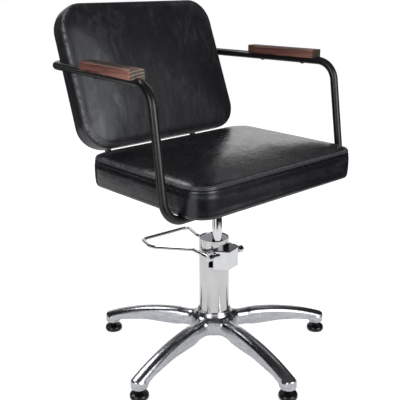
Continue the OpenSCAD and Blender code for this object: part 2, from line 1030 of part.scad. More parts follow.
// Tube frame

// Frame of the left arm stood upright: X along the arm, Y up
module on_arm_plane() {
  on_arm()
    rotate([90, 0, 0])
      children();
}

foot_point = [-upright_y / cos(arm_splay), -upright_z];
lean_rise = norm([upright_y, upright_z]);

// Corners of the hoop under the seat, in the plane that leans with the uprights
foot_path = [
  [-arm_half, lean_rise], [-cross_half, 0], [cross_half, 0], [arm_half, lean_rise]
];
foot_cut = setback(foot_bend, foot_path[0], foot_path[1], foot_path[2]) - bend_lap;

module front_hoop_side() {
  on_arm_plane()
    bent_bar(tube_r, [
      away(foot_point, heading(foot_point, [0, 0]), foot_cut), [0, 0], [joint_run, 0]
    ], [arm_bend]);
}

module front_hoop_foot() {
  translate([0, cross_y, cross_z])
    rotate([90 - upright_lean, 0, 0]) {
      straight(tube_r, [foot_cut - cross_half, 0], [cross_half - foot_cut, 0]);
      elbow(tube_r, foot_bend, foot_path[0], foot_path[1], foot_path[2]);
      elbow(tube_r, foot_bend, foot_path[1], foot_path[2], foot_path[3]);
    }
}

// Screw holes and the flats for the heads under the left arm
module arm_screw_cut() {
  on_arm()
    for (s = pad_screws)
      translate([s, 0, 0]) {
        translate([0, 0, -tube_r - overrun])
          cylinder(r = screw_r + loose_fit, h = 2 * tube_r + 2 * overrun);
        translate([0, 0, -tube_r - overrun])
          cylinder(r = spot_r, h = tube_r + overrun - spot_drop);
      }
}

module front_hoop() {
  color(black_coat) from_axis()
    difference() {
      union() {
        front_hoop_foot();
        both_sides()
          front_hoop_side();
      }
      both_sides()
        arm_screw_cut();
    }
}

module rear_hoop() {
  left = [-arm_half, arm_y];
  start = away(left, 90 - arm_splay, joint_run);
  corner = [-hoop_half, hoop_rear];
  color(black_coat) from_axis()
    difference() {
      translate([0, 0, arm_z])
        bent_bar(tube_r, [start, corner, [-corner[0], corner[1]], [-start[0], start[1]]],
          [hoop_bend, hoop_bend]);
      both_sides()
        arm_screw_cut();
      at_hoop_screws() {
        translate([0, 0, -tube_r - overrun])
          cylinder(r = screw_r + loose_fit, h = 2 * tube_r + 2 * overrun);
        translate([0, 0, -tube_r - overrun])
          cylinder(r = spot_r, h = tube_r + overrun - spot_drop);
      }
    }
}

module hoop_screws() {
  color(steel) from_axis()
    at_hoop_screws() {
      translate([0, 0, -spot_drop])
        cylinder(r = screw_r, h = spot_drop + tube_r + screw_bite);
      translate([0, 0, -spot_drop - dome_h])
        dome_head();
    }
}

// Dome of a screw head: shares of its radius and of its height
dome_profile_shares = [[0.5, 0.08], [0.8, 0.3], [0.97, 0.65], [1, 1]];

module dome_head() {
  rotate_extrude()
    polygon(concat([[0, dome_h], [0, 0]], [for (s = dome_profile_shares) [s[0] * dome_r, s[1] * dome_h]]));
}

// Path of a back tube in its upright plane: X to the rear, Y up
back_tube_y = back_foot_y + back_tube_set / cos(back_lean) + (rail_z - back_foot_z) * tan(back_lean);
back_tube_end = back_tube_y + (back_tube_top - rail_z) * tan(back_lean);

module at_rail(side) {
  translate([side * back_tube_half, 0, 0])
    rotate([90, 0, 90])
      children();
}

module rail_bar() {
  straight(back_tube_r, [cross_y, rail_z], [back_tube_y - back_tube_bend, rail_z]);
}

module back_tube(side) {
  difference() {
    at_rail(side)
      bent_bar(back_tube_r, [
        [cross_y, rail_z], [back_tube_y, rail_z], [back_tube_end, back_tube_top]
      ], [back_tube_bend]);
    translate([-arm_half, cross_y, cross_z])
      rotate([0, 90, 0])
        cylinder(r = tube_r, h = 2 * arm_half);
    on_back()
      at_back_spacers() {
        translate([0, 0, -back_stand - back_tube_r - overrun])
          cylinder(r = back_screw_r + loose_fit, h = back_stand + back_tube_r);
        translate([0, 0, -back_stand - back_tube_r - overrun])
          cylinder(r = spot_r, h = back_tube_r + overrun - back_spot);
      }
  }
}
back_spot = sqrt(back_tube_r * back_tube_r - spot_r * spot_r);
// Distance of the back tube's centre behind the board
back_stand = back_tube_set - back_t;

module back_tube_left() {
  color(black_coat) from_axis()
    back_tube(-1);
}

module back_tube_right() {
  color(black_coat) from_axis()
    back_tube(1);
}

module back_spacers() {
  color(black_coat) from_axis()
    difference() {
      on_back()
        at_back_spacers()
          translate([0, 0, -back_stand])
            difference() {
              cylinder(r = back_spacer_r, h = back_stand);
              translate([0, 0, -overrun])
                cylinder(r = back_screw_r + loose_fit, h = back_stand + 2 * overrun);
            }
      for (side = [-1, 1])
        at_rail(side)
          straight(back_tube_r, [back_tube_y, rail_z], [back_tube_end, back_tube_top]);
    }
}

module back_bolts() {
  color(steel) from_axis()
    on_back()
      at_back_spacers()
        translate([0, 0, -back_stand - back_spot]) {
          cylinder(r = back_screw_r, h = back_spot + back_stand + screw_bite);
          translate([0, 0, -dome_h])
            dome_head();
        }
}

// Arm pads

module pad_section() {
  polygon([
    [-pad_w / 2, 0],
    [pad_w / 2, 0],
    [pad_w / 2, pad_h - pad_chamfer],
    [pad_w / 2 - pad_chamfer, pad_h],
    [pad_chamfer - pad_w / 2, pad_h],
    [-pad_w / 2, pad_h - pad_chamfer]
  ]);
}

module pad_plan() {
  polygon([
    [pad_start, -pad_w / 2],
    [pad_end - pad_taper_len, -pad_w / 2],
    [pad_end, pad_taper - pad_w / 2],
    [pad_end, pad_w / 2 - pad_chamfer],
    [pad_end - pad_chamfer, pad_w / 2],
    [pad_start + pad_chamfer, pad_w / 2],
    [pad_start, pad_w / 2 - pad_chamfer]
  ]);
}

module arm_pad() {
  on_arm()
    difference() {
      translate([0, 0, pad_lift])
        intersection() {
          linear_extrude(height = pad_h)
            pad_plan();
          translate([pad_start - overrun, 0, 0])
            rotate([90, 0, 90])
              linear_extrude(height = pad_len + 2 * overrun)
                pad_section();
        }
      translate([0, 0, 0])
        rotate([0, 90, 0])
          cylinder(r = tube_r, h = arm_run);
      for (s = pad_screws)
        translate([s, 0, 0])
          cylinder(r = screw_r, h = tube_r + screw_bite);
    }
}

module arm_pad_left() {
  color(varnished_wood) from_axis()
    arm_pad();
}

module arm_pad_right() {
  color(varnished_wood) from_axis()
    mirror([1, 0, 0])
      arm_pad();
}

module pad_screws() {
  color(black_coat) from_axis()
    both_sides()
      on_arm()
        for (s = pad_screws)
          translate([s, 0, 0]) {
            translate([0, 0, -spot_drop])
              cylinder(r = screw_r, h = spot_drop + tube_r + screw_bite);
            translate([0, 0, -spot_drop - dome_h])
              dome_head();
          }
}

base_star();
glide_foot_1();
glide_foot_2();
glide_foot_3();
glide_foot_4();
glide_foot_5();
glide_stem_1();
glide_stem_2();
glide_stem_3();
glide_stem_4();
glide_stem_5();
pump_foot();
pump_bolts();
pump_cover();
pump_cap();
ram_tube();
gland_bush();
plunger_barrel();
side_block();
block_lid();
piston_rod();
pump_plunger();
pedal_shaft();
pedal_rocker();
pedal_clamp_left();
pedal_clamp_right();
clamp_screws();
pedal_stirrup();
swivel_socket();
swivel_bush();
thrust_washer();
seat_plate();
seat_bolts();
front_hoop();
rear_hoop();
back_tube_left();
back_tube_right();
seat_board();
seat_cushion();
back_board();
back_cushion();
back_spacers();
back_bolts();
hoop_screws();
arm_pad_left();
arm_pad_right();
pad_screws();
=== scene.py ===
import math

import bmesh
import bpy
from mathutils import Matrix, Vector
from mathutils.bvhtree import BVHTree
from mathutils.kdtree import KDTree


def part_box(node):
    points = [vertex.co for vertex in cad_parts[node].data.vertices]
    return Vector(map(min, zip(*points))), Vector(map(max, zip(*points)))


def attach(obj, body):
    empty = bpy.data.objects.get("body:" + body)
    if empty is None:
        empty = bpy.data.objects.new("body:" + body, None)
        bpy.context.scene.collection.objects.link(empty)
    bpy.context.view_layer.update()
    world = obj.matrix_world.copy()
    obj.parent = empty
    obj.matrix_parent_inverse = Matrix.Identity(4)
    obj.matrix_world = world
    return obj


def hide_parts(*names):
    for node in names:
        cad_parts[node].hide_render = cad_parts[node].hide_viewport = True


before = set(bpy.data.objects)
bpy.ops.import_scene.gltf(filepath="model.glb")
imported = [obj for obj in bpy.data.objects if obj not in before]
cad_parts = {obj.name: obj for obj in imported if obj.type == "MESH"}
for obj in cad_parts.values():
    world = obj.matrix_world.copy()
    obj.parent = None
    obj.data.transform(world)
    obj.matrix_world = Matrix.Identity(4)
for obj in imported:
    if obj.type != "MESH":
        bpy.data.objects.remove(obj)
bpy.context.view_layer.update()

# Metres. Z is up, the chair faces -Y, the origin is on the floor under the middle of its box.

# Swivel axis in front of the origin
axis_forward = 0.032

# Seat cushion
seat_w = 0.520
seat_front = 0.225
seat_rear = 0.175
seat_d = seat_front + seat_rear
seat_mid = (seat_rear - seat_front) / 2 - axis_forward
seat_under = 0.482
seat_band = 0.067
seat_seam = seat_under + seat_band
seat_corner = 0.050
seat_lip = 0.0008
# Heights below and above the seat's seam of the strip that gets a painted highlight
seat_highlight_below = 0.0046
seat_highlight_above = 0.0022

# Back cushion, on a plane that leans with it
back_w = 0.470
back_len = 0.350
back_t = 0.057
back_corner = 0.061
back_lean = math.radians(20)
back_foot = Vector((0, 0.174 - axis_forward, 0.559))
welt_w = 0.0085
welt_edge = 0.0010

# What each side of the back gains at its foot, what it gains there at the rear edge and over which
# depth, and what it loses at its top
back_flare = 0.0055
back_rear_flare = 0.0042
back_rear_depth = 0.040
back_taper = 0.0015

# Boards in the cushions: thickness, play, and how far the leather is turned in around them
board_t = 0.012
board_play = 0.0004
turned_in = 0.0035

# Foam: its grid, push and steps, the most it moves the leather, and how far the boards and the
# seams hold the leather
foam_grid = 0.006
foam_push = 3.2
foam_steps = 20
foam_limit = 0.005
board_hold = 0.006
seat_seam_hold = 0.0045
back_seam_hold = 0.0040

# Cushion covers: cuts along an edge, growth of the rings inwards, rounds that even out the crown
cushion_cuts = 63
ring_growth = 1.095
crown_rounds = 14
crown_start = 0.0035

# Stitches: thickness, how much of it they are raised, and their lengths and pitches
stitch_thick = 0.0009
stitch_raised_share = 0.15
seat_stitch = 0.0034
seat_pitch = 0.0046
back_stitch = 0.0030
back_pitch = 0.0042

# Arms, where the pads begin along them, and how the pads' edges are eased above a height
arm_half = 0.289
arm_front = 0.115 + axis_forward
arm_z = 0.747
arm_splay = math.radians(5.3)
tube_r = 0.0095
pad_start = 0.048
pad_ease = 0.0011
pad_eased_above = 0.008

# Cross tube in front of the swivel axis, and the back tubes that start at it
cross_front = 0.154
back_tube_r = 0.008
back_tube_half = 0.144

# Weld beads: around the socket and how deep it sits there, and around the rails
socket_bead = 0.0022
socket_bead_sunk = 0.0012
rail_bead = 0.0018

# Numbers of the glides, one under each leg
glides = range(1, 6)

# Pump
pump_place = Vector((0.0092, 0.0215 - axis_forward, 0))
pump_turn = math.radians(-4.7)

# Hub of the casting around the pump's axis, where it fades into the rest, and the top of the bosses
hub_near = 0.046
hub_far = 0.098
hub_low = 0.035
hub_high = 0.103
hub_fade = 0.008
leg_fade = 0.025
boss_top = 0.026
casting_grid = 0.0023

# Meshes: how near two points are one, in a CAD node and elsewhere, and the angles between faces that
# count as flat, as smooth and as sharp
same_cad_point = 0.00002
same_point = 0.00001
flat_angle = math.radians(0.5)
smooth_angle = math.radians(35)
sharp_angle = math.radians(30)

# Camera, fitted to a square photograph: its side, focal length and optical centre in pixels
photo_side = 400
photo_focal = 683.532
photo_centre = (217.7937, 208.6087)
camera_place = Vector((-1.1157, -1.1705 - axis_forward, 0.9459))
camera_heading = math.radians(43.68)
camera_pitch = math.radians(18.67)
sensor_w = 36

back_frame = Matrix.Translation(back_foot) @ Matrix.Rotation(math.pi / 2 - back_lean, 4, "X")
pump_frame = Matrix.Translation(pump_place) @ Matrix.Rotation(pump_turn, 4, "Z")


def arm_frame(side):
    """Frame of an arm: X along the arm to the rear, Z up. side is -1 for the left arm."""
    turn = Matrix.Rotation(math.pi / 2 + side * arm_splay, 4, "Z")
    return Matrix.Translation((side * arm_half, -arm_front, arm_z)) @ turn


# Shader helpers

def new_material(name, **sockets):
    """Material with a Principled shader whose plain values are set on its own sockets."""
    made = bpy.data.materials.new(name)
    made.use_nodes = True
    shader = made.node_tree.nodes["Principled BSDF"]
    for socket, value in sockets.items():
        shader.inputs[socket.replace("_", " ")].default_value = value
    return made, made.node_tree, shader


def add(tree, kind, **settings):
    """Node of a kind, with attributes and plain input values set by name."""
    made = tree.nodes.new(kind)
    for key, value in settings.items():
        if hasattr(made, key):
            setattr(made, key, value)
        else:
            made.inputs[key.replace("_", " ")].default_value = value
    return made


def link(tree, source, target):
    """Link from an output to an input."""
    tree.links.new(source, target)


def feed(tree, value, socket):
    """Gives an input another node's output, or else a plain number or colour."""
    if isinstance(value, bpy.types.NodeSocket):
        link(tree, value, socket)
    else:
        socket.default_value = value


def math_node(tree, operation, a, b=None):
    """Math node on one or two sources, each a socket or a number."""
    made = add(tree, "ShaderNodeMath", operation=operation)
    feed(tree, a, made.inputs[0])
    if b is not None:
        feed(tree, b, made.inputs[1])
    return made.outputs[0]


def times(tree, a, b):
    """Product of two sources."""
    return math_node(tree, "MULTIPLY", a, b)


def spread(tree, value, low, high, to_low, to_high):
    """Map Range from low..high to to_low..to_high, held at both ends."""
    made = tree.nodes.new("ShaderNodeMapRange")
    for source, socket in zip((value, low, high, to_low, to_high), made.inputs):
        feed(tree, source, socket)
    return made.outputs[0]


def colours(tree, value, stops):
    """Colour ramp through stops of (position, colour)."""
    made = tree.nodes.new("ShaderNodeValToRGB")
    ramp = made.color_ramp
    while len(ramp.elements) < len(stops):
        ramp.elements.new(0.5)
    for element, (place, colour) in zip(ramp.elements, stops):
        element.position = place
        element.color = (*colour, 1)
    link(tree, value, made.inputs[0])
    return made.outputs[0]


def toned(factor, stops):
    """Stops of a colour ramp with their colours made lighter or darker."""
    return [(place, tuple(factor * c for c in colour)) for place, colour in stops]


def blend(tree, share, low, high, kind="MIX"):
    """Blend of two colours, each a socket or three plain numbers, by a share."""
    made = add(tree, "ShaderNodeMix", data_type="RGBA", blend_type=kind)
    feed(tree, share, made.inputs[0])
    for colour, socket in ((low, made.inputs[6]), (high, made.inputs[7])):
        feed(tree, (*colour, 1) if isinstance(colour, tuple) else colour, socket)
    return made.outputs[2]


def mapped(tree, place, turn=(0, 0, 0), shift=(0, 0, 0), stretch=(1, 1, 1)):
    """A place turned, moved and stretched."""
    made = add(tree, "ShaderNodeMapping", Location=shift, Rotation=turn, Scale=stretch)
    link(tree, place, made.inputs[0])
    return made.outputs[0]


def object_place(tree, **mapping):
    """Object coordinates, turned, moved and stretched."""
    place = tree.nodes.new("ShaderNodeTexCoord")
    return mapped(tree, place.outputs["Object"], **mapping)


def axes(tree, place):
    """The X, Y and Z of a place."""
    parts = tree.nodes.new("ShaderNodeSeparateXYZ")
    link(tree, place, parts.inputs[0])
    return parts.outputs


def joined(tree, x, y, z=0.0):
    """A place made of three sources, each a socket or a number."""
    made = tree.nodes.new("ShaderNodeCombineXYZ")
    for source, socket in zip((x, y, z), made.inputs):
        feed(tree, source, socket)
    return made.outputs[0]


def noise(tree, place, scale, detail=2.0, rough=0.5, twist=0.0):
    """Noise over a place. The scale is a number or a socket."""
    made = add(tree, "ShaderNodeTexNoise", Detail=detail, Roughness=rough, Distortion=twist)
    link(tree, place, made.inputs["Vector"])
    feed(tree, scale, made.inputs["Scale"])
    return made.outputs[0]


def bumps(tree, shader, layers):
    """Chain of Bump nodes into a shader's Normal. layers are (height, strength, distance)."""
    normal = None
    for height, strength, distance in layers:
        made = add(tree, "ShaderNodeBump", Strength=strength, Distance=distance)
        link(tree, height, made.inputs["Height"])
        if normal is not None:
            link(tree, normal, made.inputs["Normal"])
        normal = made.outputs[0]
    link(tree, normal, shader.inputs["Normal"])


def new_group(name, inputs, outputs):
    """Shader node group. Inputs are (name, number), or (name, None) for a place."""
    tree = bpy.data.node_groups.new(name, "ShaderNodeTree")
    for label, value in inputs:
        kind = "NodeSocketVector" if value is None else "NodeSocketFloat"
        made = tree.interface.new_socket(label, in_out="INPUT", socket_type=kind)
        if value is not None:
            made.default_value = value
    for label in outputs:
        tree.interface.new_socket(label, in_out="OUTPUT", socket_type="NodeSocketFloat")
    return tree, tree.nodes.new("NodeGroupInput"), tree.nodes.new("NodeGroupOutput")


def hide_grain_group():
    """Pebbled grain of a hide: small cells and creases. Height and a mask of the valleys."""
    tree, given, out = new_group(
        "hide_grain", [("Place", None), ("Cells", 520.0), ("Creases", 60.0)], ["Height", "Valleys"])
    place = given.outputs["Place"]
    cells = add(tree, "ShaderNodeTexVoronoi", feature="DISTANCE_TO_EDGE")
    link(tree, place, cells.inputs["Vector"])
    link(tree, given.outputs["Cells"], cells.inputs["Scale"])
    pebbles = spread(tree, cells.outputs[0], 0.0, 0.22, 0.0, 1.0)
    fine = noise(tree, place, given.outputs["Creases"], 6.0, 0.62)
    ridges = math_node(tree, "ABSOLUTE", math_node(tree, "SUBTRACT", fine, 0.5))
    creases = spread(tree, ridges, 0.0, 0.05, 0.0, 1.0)
    height = math_node(tree, "ADD", times(tree, pebbles, 0.5), times(tree, creases, 0.5))
    link(tree, height, out.inputs["Height"])
    link(tree, math_node(tree, "SUBTRACT", 1.0, pebbles), out.inputs["Valleys"])
    return tree


def smudge_group():
    """Finger marks and dull patches. Marks run from 0, clean, to 1, dull."""
    tree, given, out = new_group("smudges", [("Place", None), ("Patches", 18.0)], ["Marks"])
    patches = noise(tree, given.outputs["Place"], given.outputs["Patches"], 4.0)
    link(tree, spread(tree, patches, 0.42, 0.72, 0.0, 1.0), out.inputs["Marks"])
    return tree


hide_grain = hide_grain_group()
smudges = smudge_group()


def use_group(tree, group, place, **values):
    """Shader node group on a place, with its own values."""
    made = tree.nodes.new("ShaderNodeGroup")
    made.node_tree = group
    link(tree, place, made.inputs["Place"])
    for key, value in values.items():
        made.inputs[key].default_value = value
    return made.outputs


# Materials

def leather(name, turn, shift, stretch, gloss, ridge, gathered=False):
    """Black grained leatherette with soft dents, creases, a patina and a worn sheen.

    gloss is its roughness where dull and where worn, ridge the heights of the seam strip that is
    painted paler as a highlight. Gathered leather is drawn into folds there, with the painted
    highlight on their crests, and its whole tone is made paler as painted light."""
    made, tree, shader = new_material(name, Specular_IOR_Level=0.55, Specular_Tint=(0.93, 0.95, 1.0, 1))
    place = object_place(tree, turn=turn, shift=shift)
    grain = use_group(tree, hide_grain, place, Cells=620.0, Creases=75.0)
    stretched = mapped(tree, place, stretch=stretch)
    dents = noise(tree, stretched, 7.0, 3.0, 0.5, 0.4)
    crease = noise(tree, stretched, 42.0, 4.0, 0.6, 0.8)
    patina = noise(tree, stretched, 62.0, 5.0, 0.62, 0.6)
    clouds = noise(tree, place, 9.0, 3.0, 0.55)
    worn = times(tree, patina, spread(tree, clouds, 0.35, 0.68, 0.65, 1.10))
    strip = strip_mask(tree, place, *ridge)
    layers = [(dents, 0.45, 0.008), (crease, 0.30, 0.0016), (patina, 0.13, 0.0008),
              (grain["Height"], 0.22, 0.00022)]
    if gathered:
        folds = gathered_folds(tree, place)
        # Painted highlight on the back's gathered welt: paler on the crests of its folds, most along the
        # sides
        creased_highlight = times(tree, strip, spread(tree, folds, 0.40, 0.62, 0.15, 1.0))
        seam_highlight = times(tree, creased_highlight, along_sides(tree, place))
        layers.insert(1, (times(tree, folds, strip), 0.7, 0.0020))
        # Painted light: the back's copy of this leather is toned 1.4 times paler than the seat's
        painted_lift, seam_highlight_tone = 1.4, (0.130, 0.132, 0.142)
    else:
        # Painted highlight along the seat's seam ridges
        seam_highlight = strip
        painted_lift, seam_highlight_tone = 1.0, (0.040, 0.041, 0.046)
    tone = colours(tree, worn, toned(painted_lift, [
        (0.26, (0.0030, 0.0031, 0.0040)), (0.44, (0.0070, 0.0072, 0.0088)),
        (0.62, (0.0210, 0.0212, 0.0245))]))
    # Painted shade: the grain's valleys and creases are darkened in colour
    valley_shade = colours(tree, grain["Valleys"], [(0.0, (1, 1, 1)), (1.0, (0.45, 0.45, 0.47))])
    grained = blend(tree, 0.5, tone, valley_shade, "MULTIPLY")
    # The seam strip is painted paler as a highlight
    link(tree, blend(tree, seam_highlight, grained, seam_highlight_tone), shader.inputs["Base Color"])
    link(tree, spread(tree, worn, 0.25, 0.70, *gloss), shader.inputs["Roughness"])
    bumps(tree, shader, layers)
    return made


def strip_mask(tree, place, low, high):
    """1 on the strip of a cover between two heights, 0 elsewhere."""
    height = axes(tree, place)[2]
    blur = 0.0012
    return times(tree, spread(tree, height, low, low + blur, 0.0, 1.0),
                 spread(tree, height, high - blur, high, 1.0, 0.0))


def along_sides(tree, place):
    """1 on the seam along both sides of the back, less on the seam along its top and foot: the painted
    highlight on the welt is strongest along the sides.
    """
    across = math_node(tree, "ABSOLUTE", axes(tree, place)[0])
    corner_start, corner_end, top_share = back_w / 2 - 0.040, back_w / 2 - 0.015, 0.2
    return spread(tree, across, corner_start, corner_end, top_share, 1.0)


def gathered_folds(tree, place):
    """Uneven folds of leather that is drawn in along a seam."""
    return noise(tree, mapped(tree, place, stretch=(0.7, 0.7, 0.5)), 150.0, 3.0, 0.55, 0.6)


def coated_steel(name, tint, rough):
    """Satin black powder coat with a fine orange-peel surface."""
    made, tree, shader = new_material(name, Specular_IOR_Level=0.42)
    place = object_place(tree)
    marks = use_group(tree, smudges, place, Patches=14.0)["Marks"]
    tone = colours(tree, marks, [(0.0, tint), (1.0, tuple(c * 1.35 for c in tint))])
    link(tree, tone, shader.inputs["Base Color"])
    link(tree, spread(tree, marks, 0, 1, rough, rough + 0.09), shader.inputs["Roughness"])
    bumps(tree, shader, [(noise(tree, place, 700.0), 0.12, 0.0002)])
    return made


def bright_metal(name, tint, rough, dull, brush=(1, 1, 1), patches=14.0):
    """Plated or polished metal with dull patches. brush stretches its fine polishing lines."""
    made, tree, shader = new_material(name, Metallic=1.0)
    marks = use_group(tree, smudges, object_place(tree), Patches=patches)["Marks"]
    tone = colours(tree, marks, [(0.0, tint), (1.0, tuple(c * 0.9 for c in tint))])
    link(tree, tone, shader.inputs["Base Color"])
    link(tree, spread(tree, marks, 0, 1, rough, dull), shader.inputs["Roughness"])
    lines = noise(tree, object_place(tree, stretch=brush), 420.0, 3.0, 0.6)
    bumps(tree, shader, [(lines, 0.10, 0.00012)])
    return made


def cast_alloy():
    """Polished aluminium casting with buffing streaks that run out along its legs."""
    made, tree, shader = new_material("polished_alloy", Metallic=1.0)
    inverse = pump_frame.inverted()
    place = object_place(tree, turn=inverse.to_euler(), shift=inverse.translation)
    x, y, z = axes(tree, place)
    around = math_node(tree, "ARCTAN2", y, x)
    reach = add(tree, "ShaderNodeVectorMath", operation="LENGTH")
    link(tree, joined(tree, x, y), reach.inputs[0])
    buffed = joined(tree, times(tree, around, 0.24), times(tree, reach.outputs["Value"], 0.045), z)
    streaks = noise(tree, buffed, 170.0, 4.0, 0.62, 0.2)
    fine = noise(tree, buffed, 800.0, 3.0, 0.6)
    marks = use_group(tree, smudges, place, Patches=16.0)["Marks"]
    tone = colours(tree, streaks, [
        (0.30, (0.36, 0.37, 0.40)), (0.52, (0.46, 0.47, 0.50)), (0.72, (0.56, 0.57, 0.59))])
    link(tree, tone, shader.inputs["Base Color"])
    gloss = math_node(tree, "ADD", spread(tree, streaks, 0.3, 0.7, 0.26, 0.17),
                      spread(tree, marks, 0, 1, 0.0, 0.07))
    link(tree, gloss, shader.inputs["Roughness"])
    bumps(tree, shader, [(streaks, 0.05, 0.0003), (fine, 0.12, 0.00012)])
    return made


def moulded_plastic():
    """Black moulded plastic of the glides, with a dusty lower edge."""
    made, tree, shader = new_material("moulded_plastic", Specular_IOR_Level=0.32)
    place = object_place(tree)
    low = spread(tree, axes(tree, place)[2], 0.0, 0.007, 1.0, 0.0)
    dust = times(tree, low, noise(tree, place, 90.0, 4.0))
    tone = colours(tree, dust, [(0.0, (0.004, 0.004, 0.005)), (0.7, (0.022, 0.021, 0.020))])
    link(tree, tone, shader.inputs["Base Color"])
    link(tree, spread(tree, dust, 0.0, 0.6, 0.22, 0.6), shader.inputs["Roughness"])
    bumps(tree, shader, [(noise(tree, place, 1100.0), 0.15, 0.0002)])
    return made


def growth_rings(tree, place):
    """Growth rings as the cut ends of a pad show them."""
    rings = add(tree, "ShaderNodeTexWave", wave_type="RINGS", rings_direction="X", wave_profile="SAW",
                Scale=52.0, Distortion=2.0, Detail=2.0, Detail_Scale=0.7)
    slanted = mapped(tree, place, shift=(0, 0.012, 0.016), stretch=(0.10, 0.45, 1.0))
    link(tree, slanted, rings.inputs["Vector"])
    return rings.outputs["Fac"]


def varnished_timber(side):
    """Reddish-brown timber, paler near the front, with end grain on its cut front. Its top is painted
    darker as shade, with a painted highlight near the front; the right pad's copy is darker still,
    as painted shade."""
    # Painted shade: the right pad's copy is toned darker all over, and its cut end much darker
    name, painted_shade_factor, painted_end_shade = ("left", 1.0, 1.0) if side < 0 else ("right", 0.72, 0.35)
    made, tree, shader = new_material(
        "varnished_timber_" + name, Coat_Weight=0.08, Coat_Roughness=0.35, Specular_IOR_Level=0.22)
    turned = arm_frame(side).inverted()
    place = object_place(tree, turn=turned.to_euler(), shift=turned.translation)
    along, _, up = axes(tree, place)
    top_highlight_end, paler_front_end = pad_start + 0.05, pad_start + 0.12
    top_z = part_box("arm_pad_left")[1].z - arm_z
    lengthwise = mapped(tree, place, stretch=(0.05, 1, 1))
    fibre = noise(tree, lengthwise, 420.0, 6.0, 0.68, 0.5)
    figure = noise(tree, lengthwise, 70.0, 4.0, 0.55, 1.2)
    grain = math_node(tree, "ADD", times(tree, fibre, 0.45), times(tree, figure, 0.55))
    tone = colours(tree, grain, toned(painted_shade_factor, [
        (0.38, (0.034, 0.008, 0.007)), (0.50, (0.108, 0.036, 0.029)), (0.62, (0.220, 0.092, 0.075))]))
    # Sides paler towards the front
    paler_front = times(tree, spread(tree, along, pad_start, paler_front_end, 0.75, 0.0),
                     spread(tree, grain, 0.36, 0.60, 0.35, 1.0))
    side_tone = blend(tree, paler_front, tone, (0.400 * painted_shade_factor, 0.185 * painted_shade_factor, 0.135 * painted_shade_factor))
    # Painted highlight: pale patches on the top near the front
    painted_top_highlight = times(tree, spread(tree, along, pad_start, top_highlight_end, 1.0, 0.0),
                 spread(tree, figure, 0.42, 0.58, 0.0, 1.0))
    top_tone = blend(tree, painted_top_highlight, (0.024, 0.014, 0.014), (0.260, 0.165, 0.120))
    # Painted shade: the top is darkened, following the fibres
    painted_top_shade = times(tree, spread(tree, up, top_z - 0.0016, top_z - 0.0005, 0.0, 1.0),
                    spread(tree, fibre, 0.35, 0.65, 1.0, 0.62))
    long_tone = blend(tree, painted_top_shade, side_tone, top_tone)
    cut = spread(tree, along, pad_start + 0.0006, pad_start + 0.0014, 1.0, 0.0)
    end_tone = colours(tree, growth_rings(tree, place), toned(painted_end_shade, [
        (0.10, (0.042, 0.029, 0.022)), (0.50, (0.110, 0.080, 0.062)), (0.92, (0.250, 0.200, 0.160))]))
    link(tree, blend(tree, cut, long_tone, end_tone), shader.inputs["Base Color"])
    link(tree, spread(tree, grain, 0.2, 0.8, 0.46, 0.60), shader.inputs["Roughness"])
    bumps(tree, shader, [(fibre, 0.25, 0.0003)])
    return made


def ply_board():
    """Plywood stained black, with the grain still showing."""
    made, tree, shader = new_material("ply_board")
    grain = noise(tree, object_place(tree, stretch=(0.06, 1, 1)), 130.0, 5.0, 0.6, 0.4)
    tone = colours(tree, grain, [(0.3, (0.012, 0.010, 0.009)), (0.7, (0.034, 0.028, 0.024))])
    link(tree, tone, shader.inputs["Base Color"])
    link(tree, spread(tree, grain, 0.3, 0.7, 0.55, 0.75), shader.inputs["Roughness"])
    bumps(tree, shader, [(grain, 0.3, 0.0003)])
    return made


def stitch_thread():
    """Twisted dark grey sewing thread, its grey lifted in part as a painted highlight along the seams."""
    made, tree, shader = new_material("stitch_thread")
    twist = noise(tree, object_place(tree), 2600.0)
    tone = colours(tree, twist, [(0.3, (0.050, 0.051, 0.055)), (0.7, (0.150, 0.151, 0.158))])
    link(tree, tone, shader.inputs["Base Color"])
    link(tree, spread(tree, twist, 0.3, 0.7, 0.42, 0.6), shader.inputs["Roughness"])
    bumps(tree, shader, [(twist, 0.4, 0.0002)])
    return made


back_turned = back_frame.inverted()
black_coat = coated_steel("black_coat", (0.0075, 0.0076, 0.0084), 0.27)
black_lid = coated_steel("black_lid", (0.0080, 0.0080, 0.0090), 0.24)
chrome = bright_metal("chrome", (0.66, 0.67, 0.69), 0.05, 0.12, patches=22.0)
chrome_brushed = bright_metal("chrome_column", (0.58, 0.58, 0.58), 0.14, 0.22, brush=(1, 1, 0.05))
chrome_bent = bright_metal("chrome_bent", (0.46, 0.47, 0.49), 0.07, 0.15, patches=30.0)
polished_alloy = cast_alloy()
zinc_steel = bright_metal("zinc_steel", (0.56, 0.57, 0.58), 0.30, 0.45)
satin_steel = bright_metal("satin_steel", (0.23, 0.23, 0.27), 0.26, 0.36)
bronze = bright_metal("bronze", (0.52, 0.36, 0.18), 0.35, 0.5)
black_plastic = moulded_plastic()
# The seat's seam strip gets a painted highlight between these heights
seat_leather = leather(
    "seat_leather", turn=(0, 0, 0), shift=(0, 0, 0), stretch=(0.6, 1, 1), gloss=(0.29, 0.20),
    ridge=(seat_seam - seat_highlight_below, seat_seam + seat_highlight_above))
# The back's welt strip gets a painted highlight, and this leather is toned paler as painted light
back_leather = leather(
    "back_leather", turn=back_turned.to_euler(), shift=back_turned.translation, stretch=(1, 0.45, 1),
    gloss=(0.41, 0.31), ridge=(-welt_w, -welt_edge), gathered=True)
timber = {side: varnished_timber(side) for side in (-1, 1)}
plywood = ply_board()
thread = stitch_thread()
card_black = new_material("card_black", Base_Color=(0.012, 0.012, 0.012, 1), Roughness=0.9,
                          Specular_IOR_Level=0.0)[0]


def dress(material, *names):
    """Gives CAD nodes their finish."""
    for name in names:
        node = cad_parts[name]
        node.data.materials.clear()
        node.data.materials.append(material)


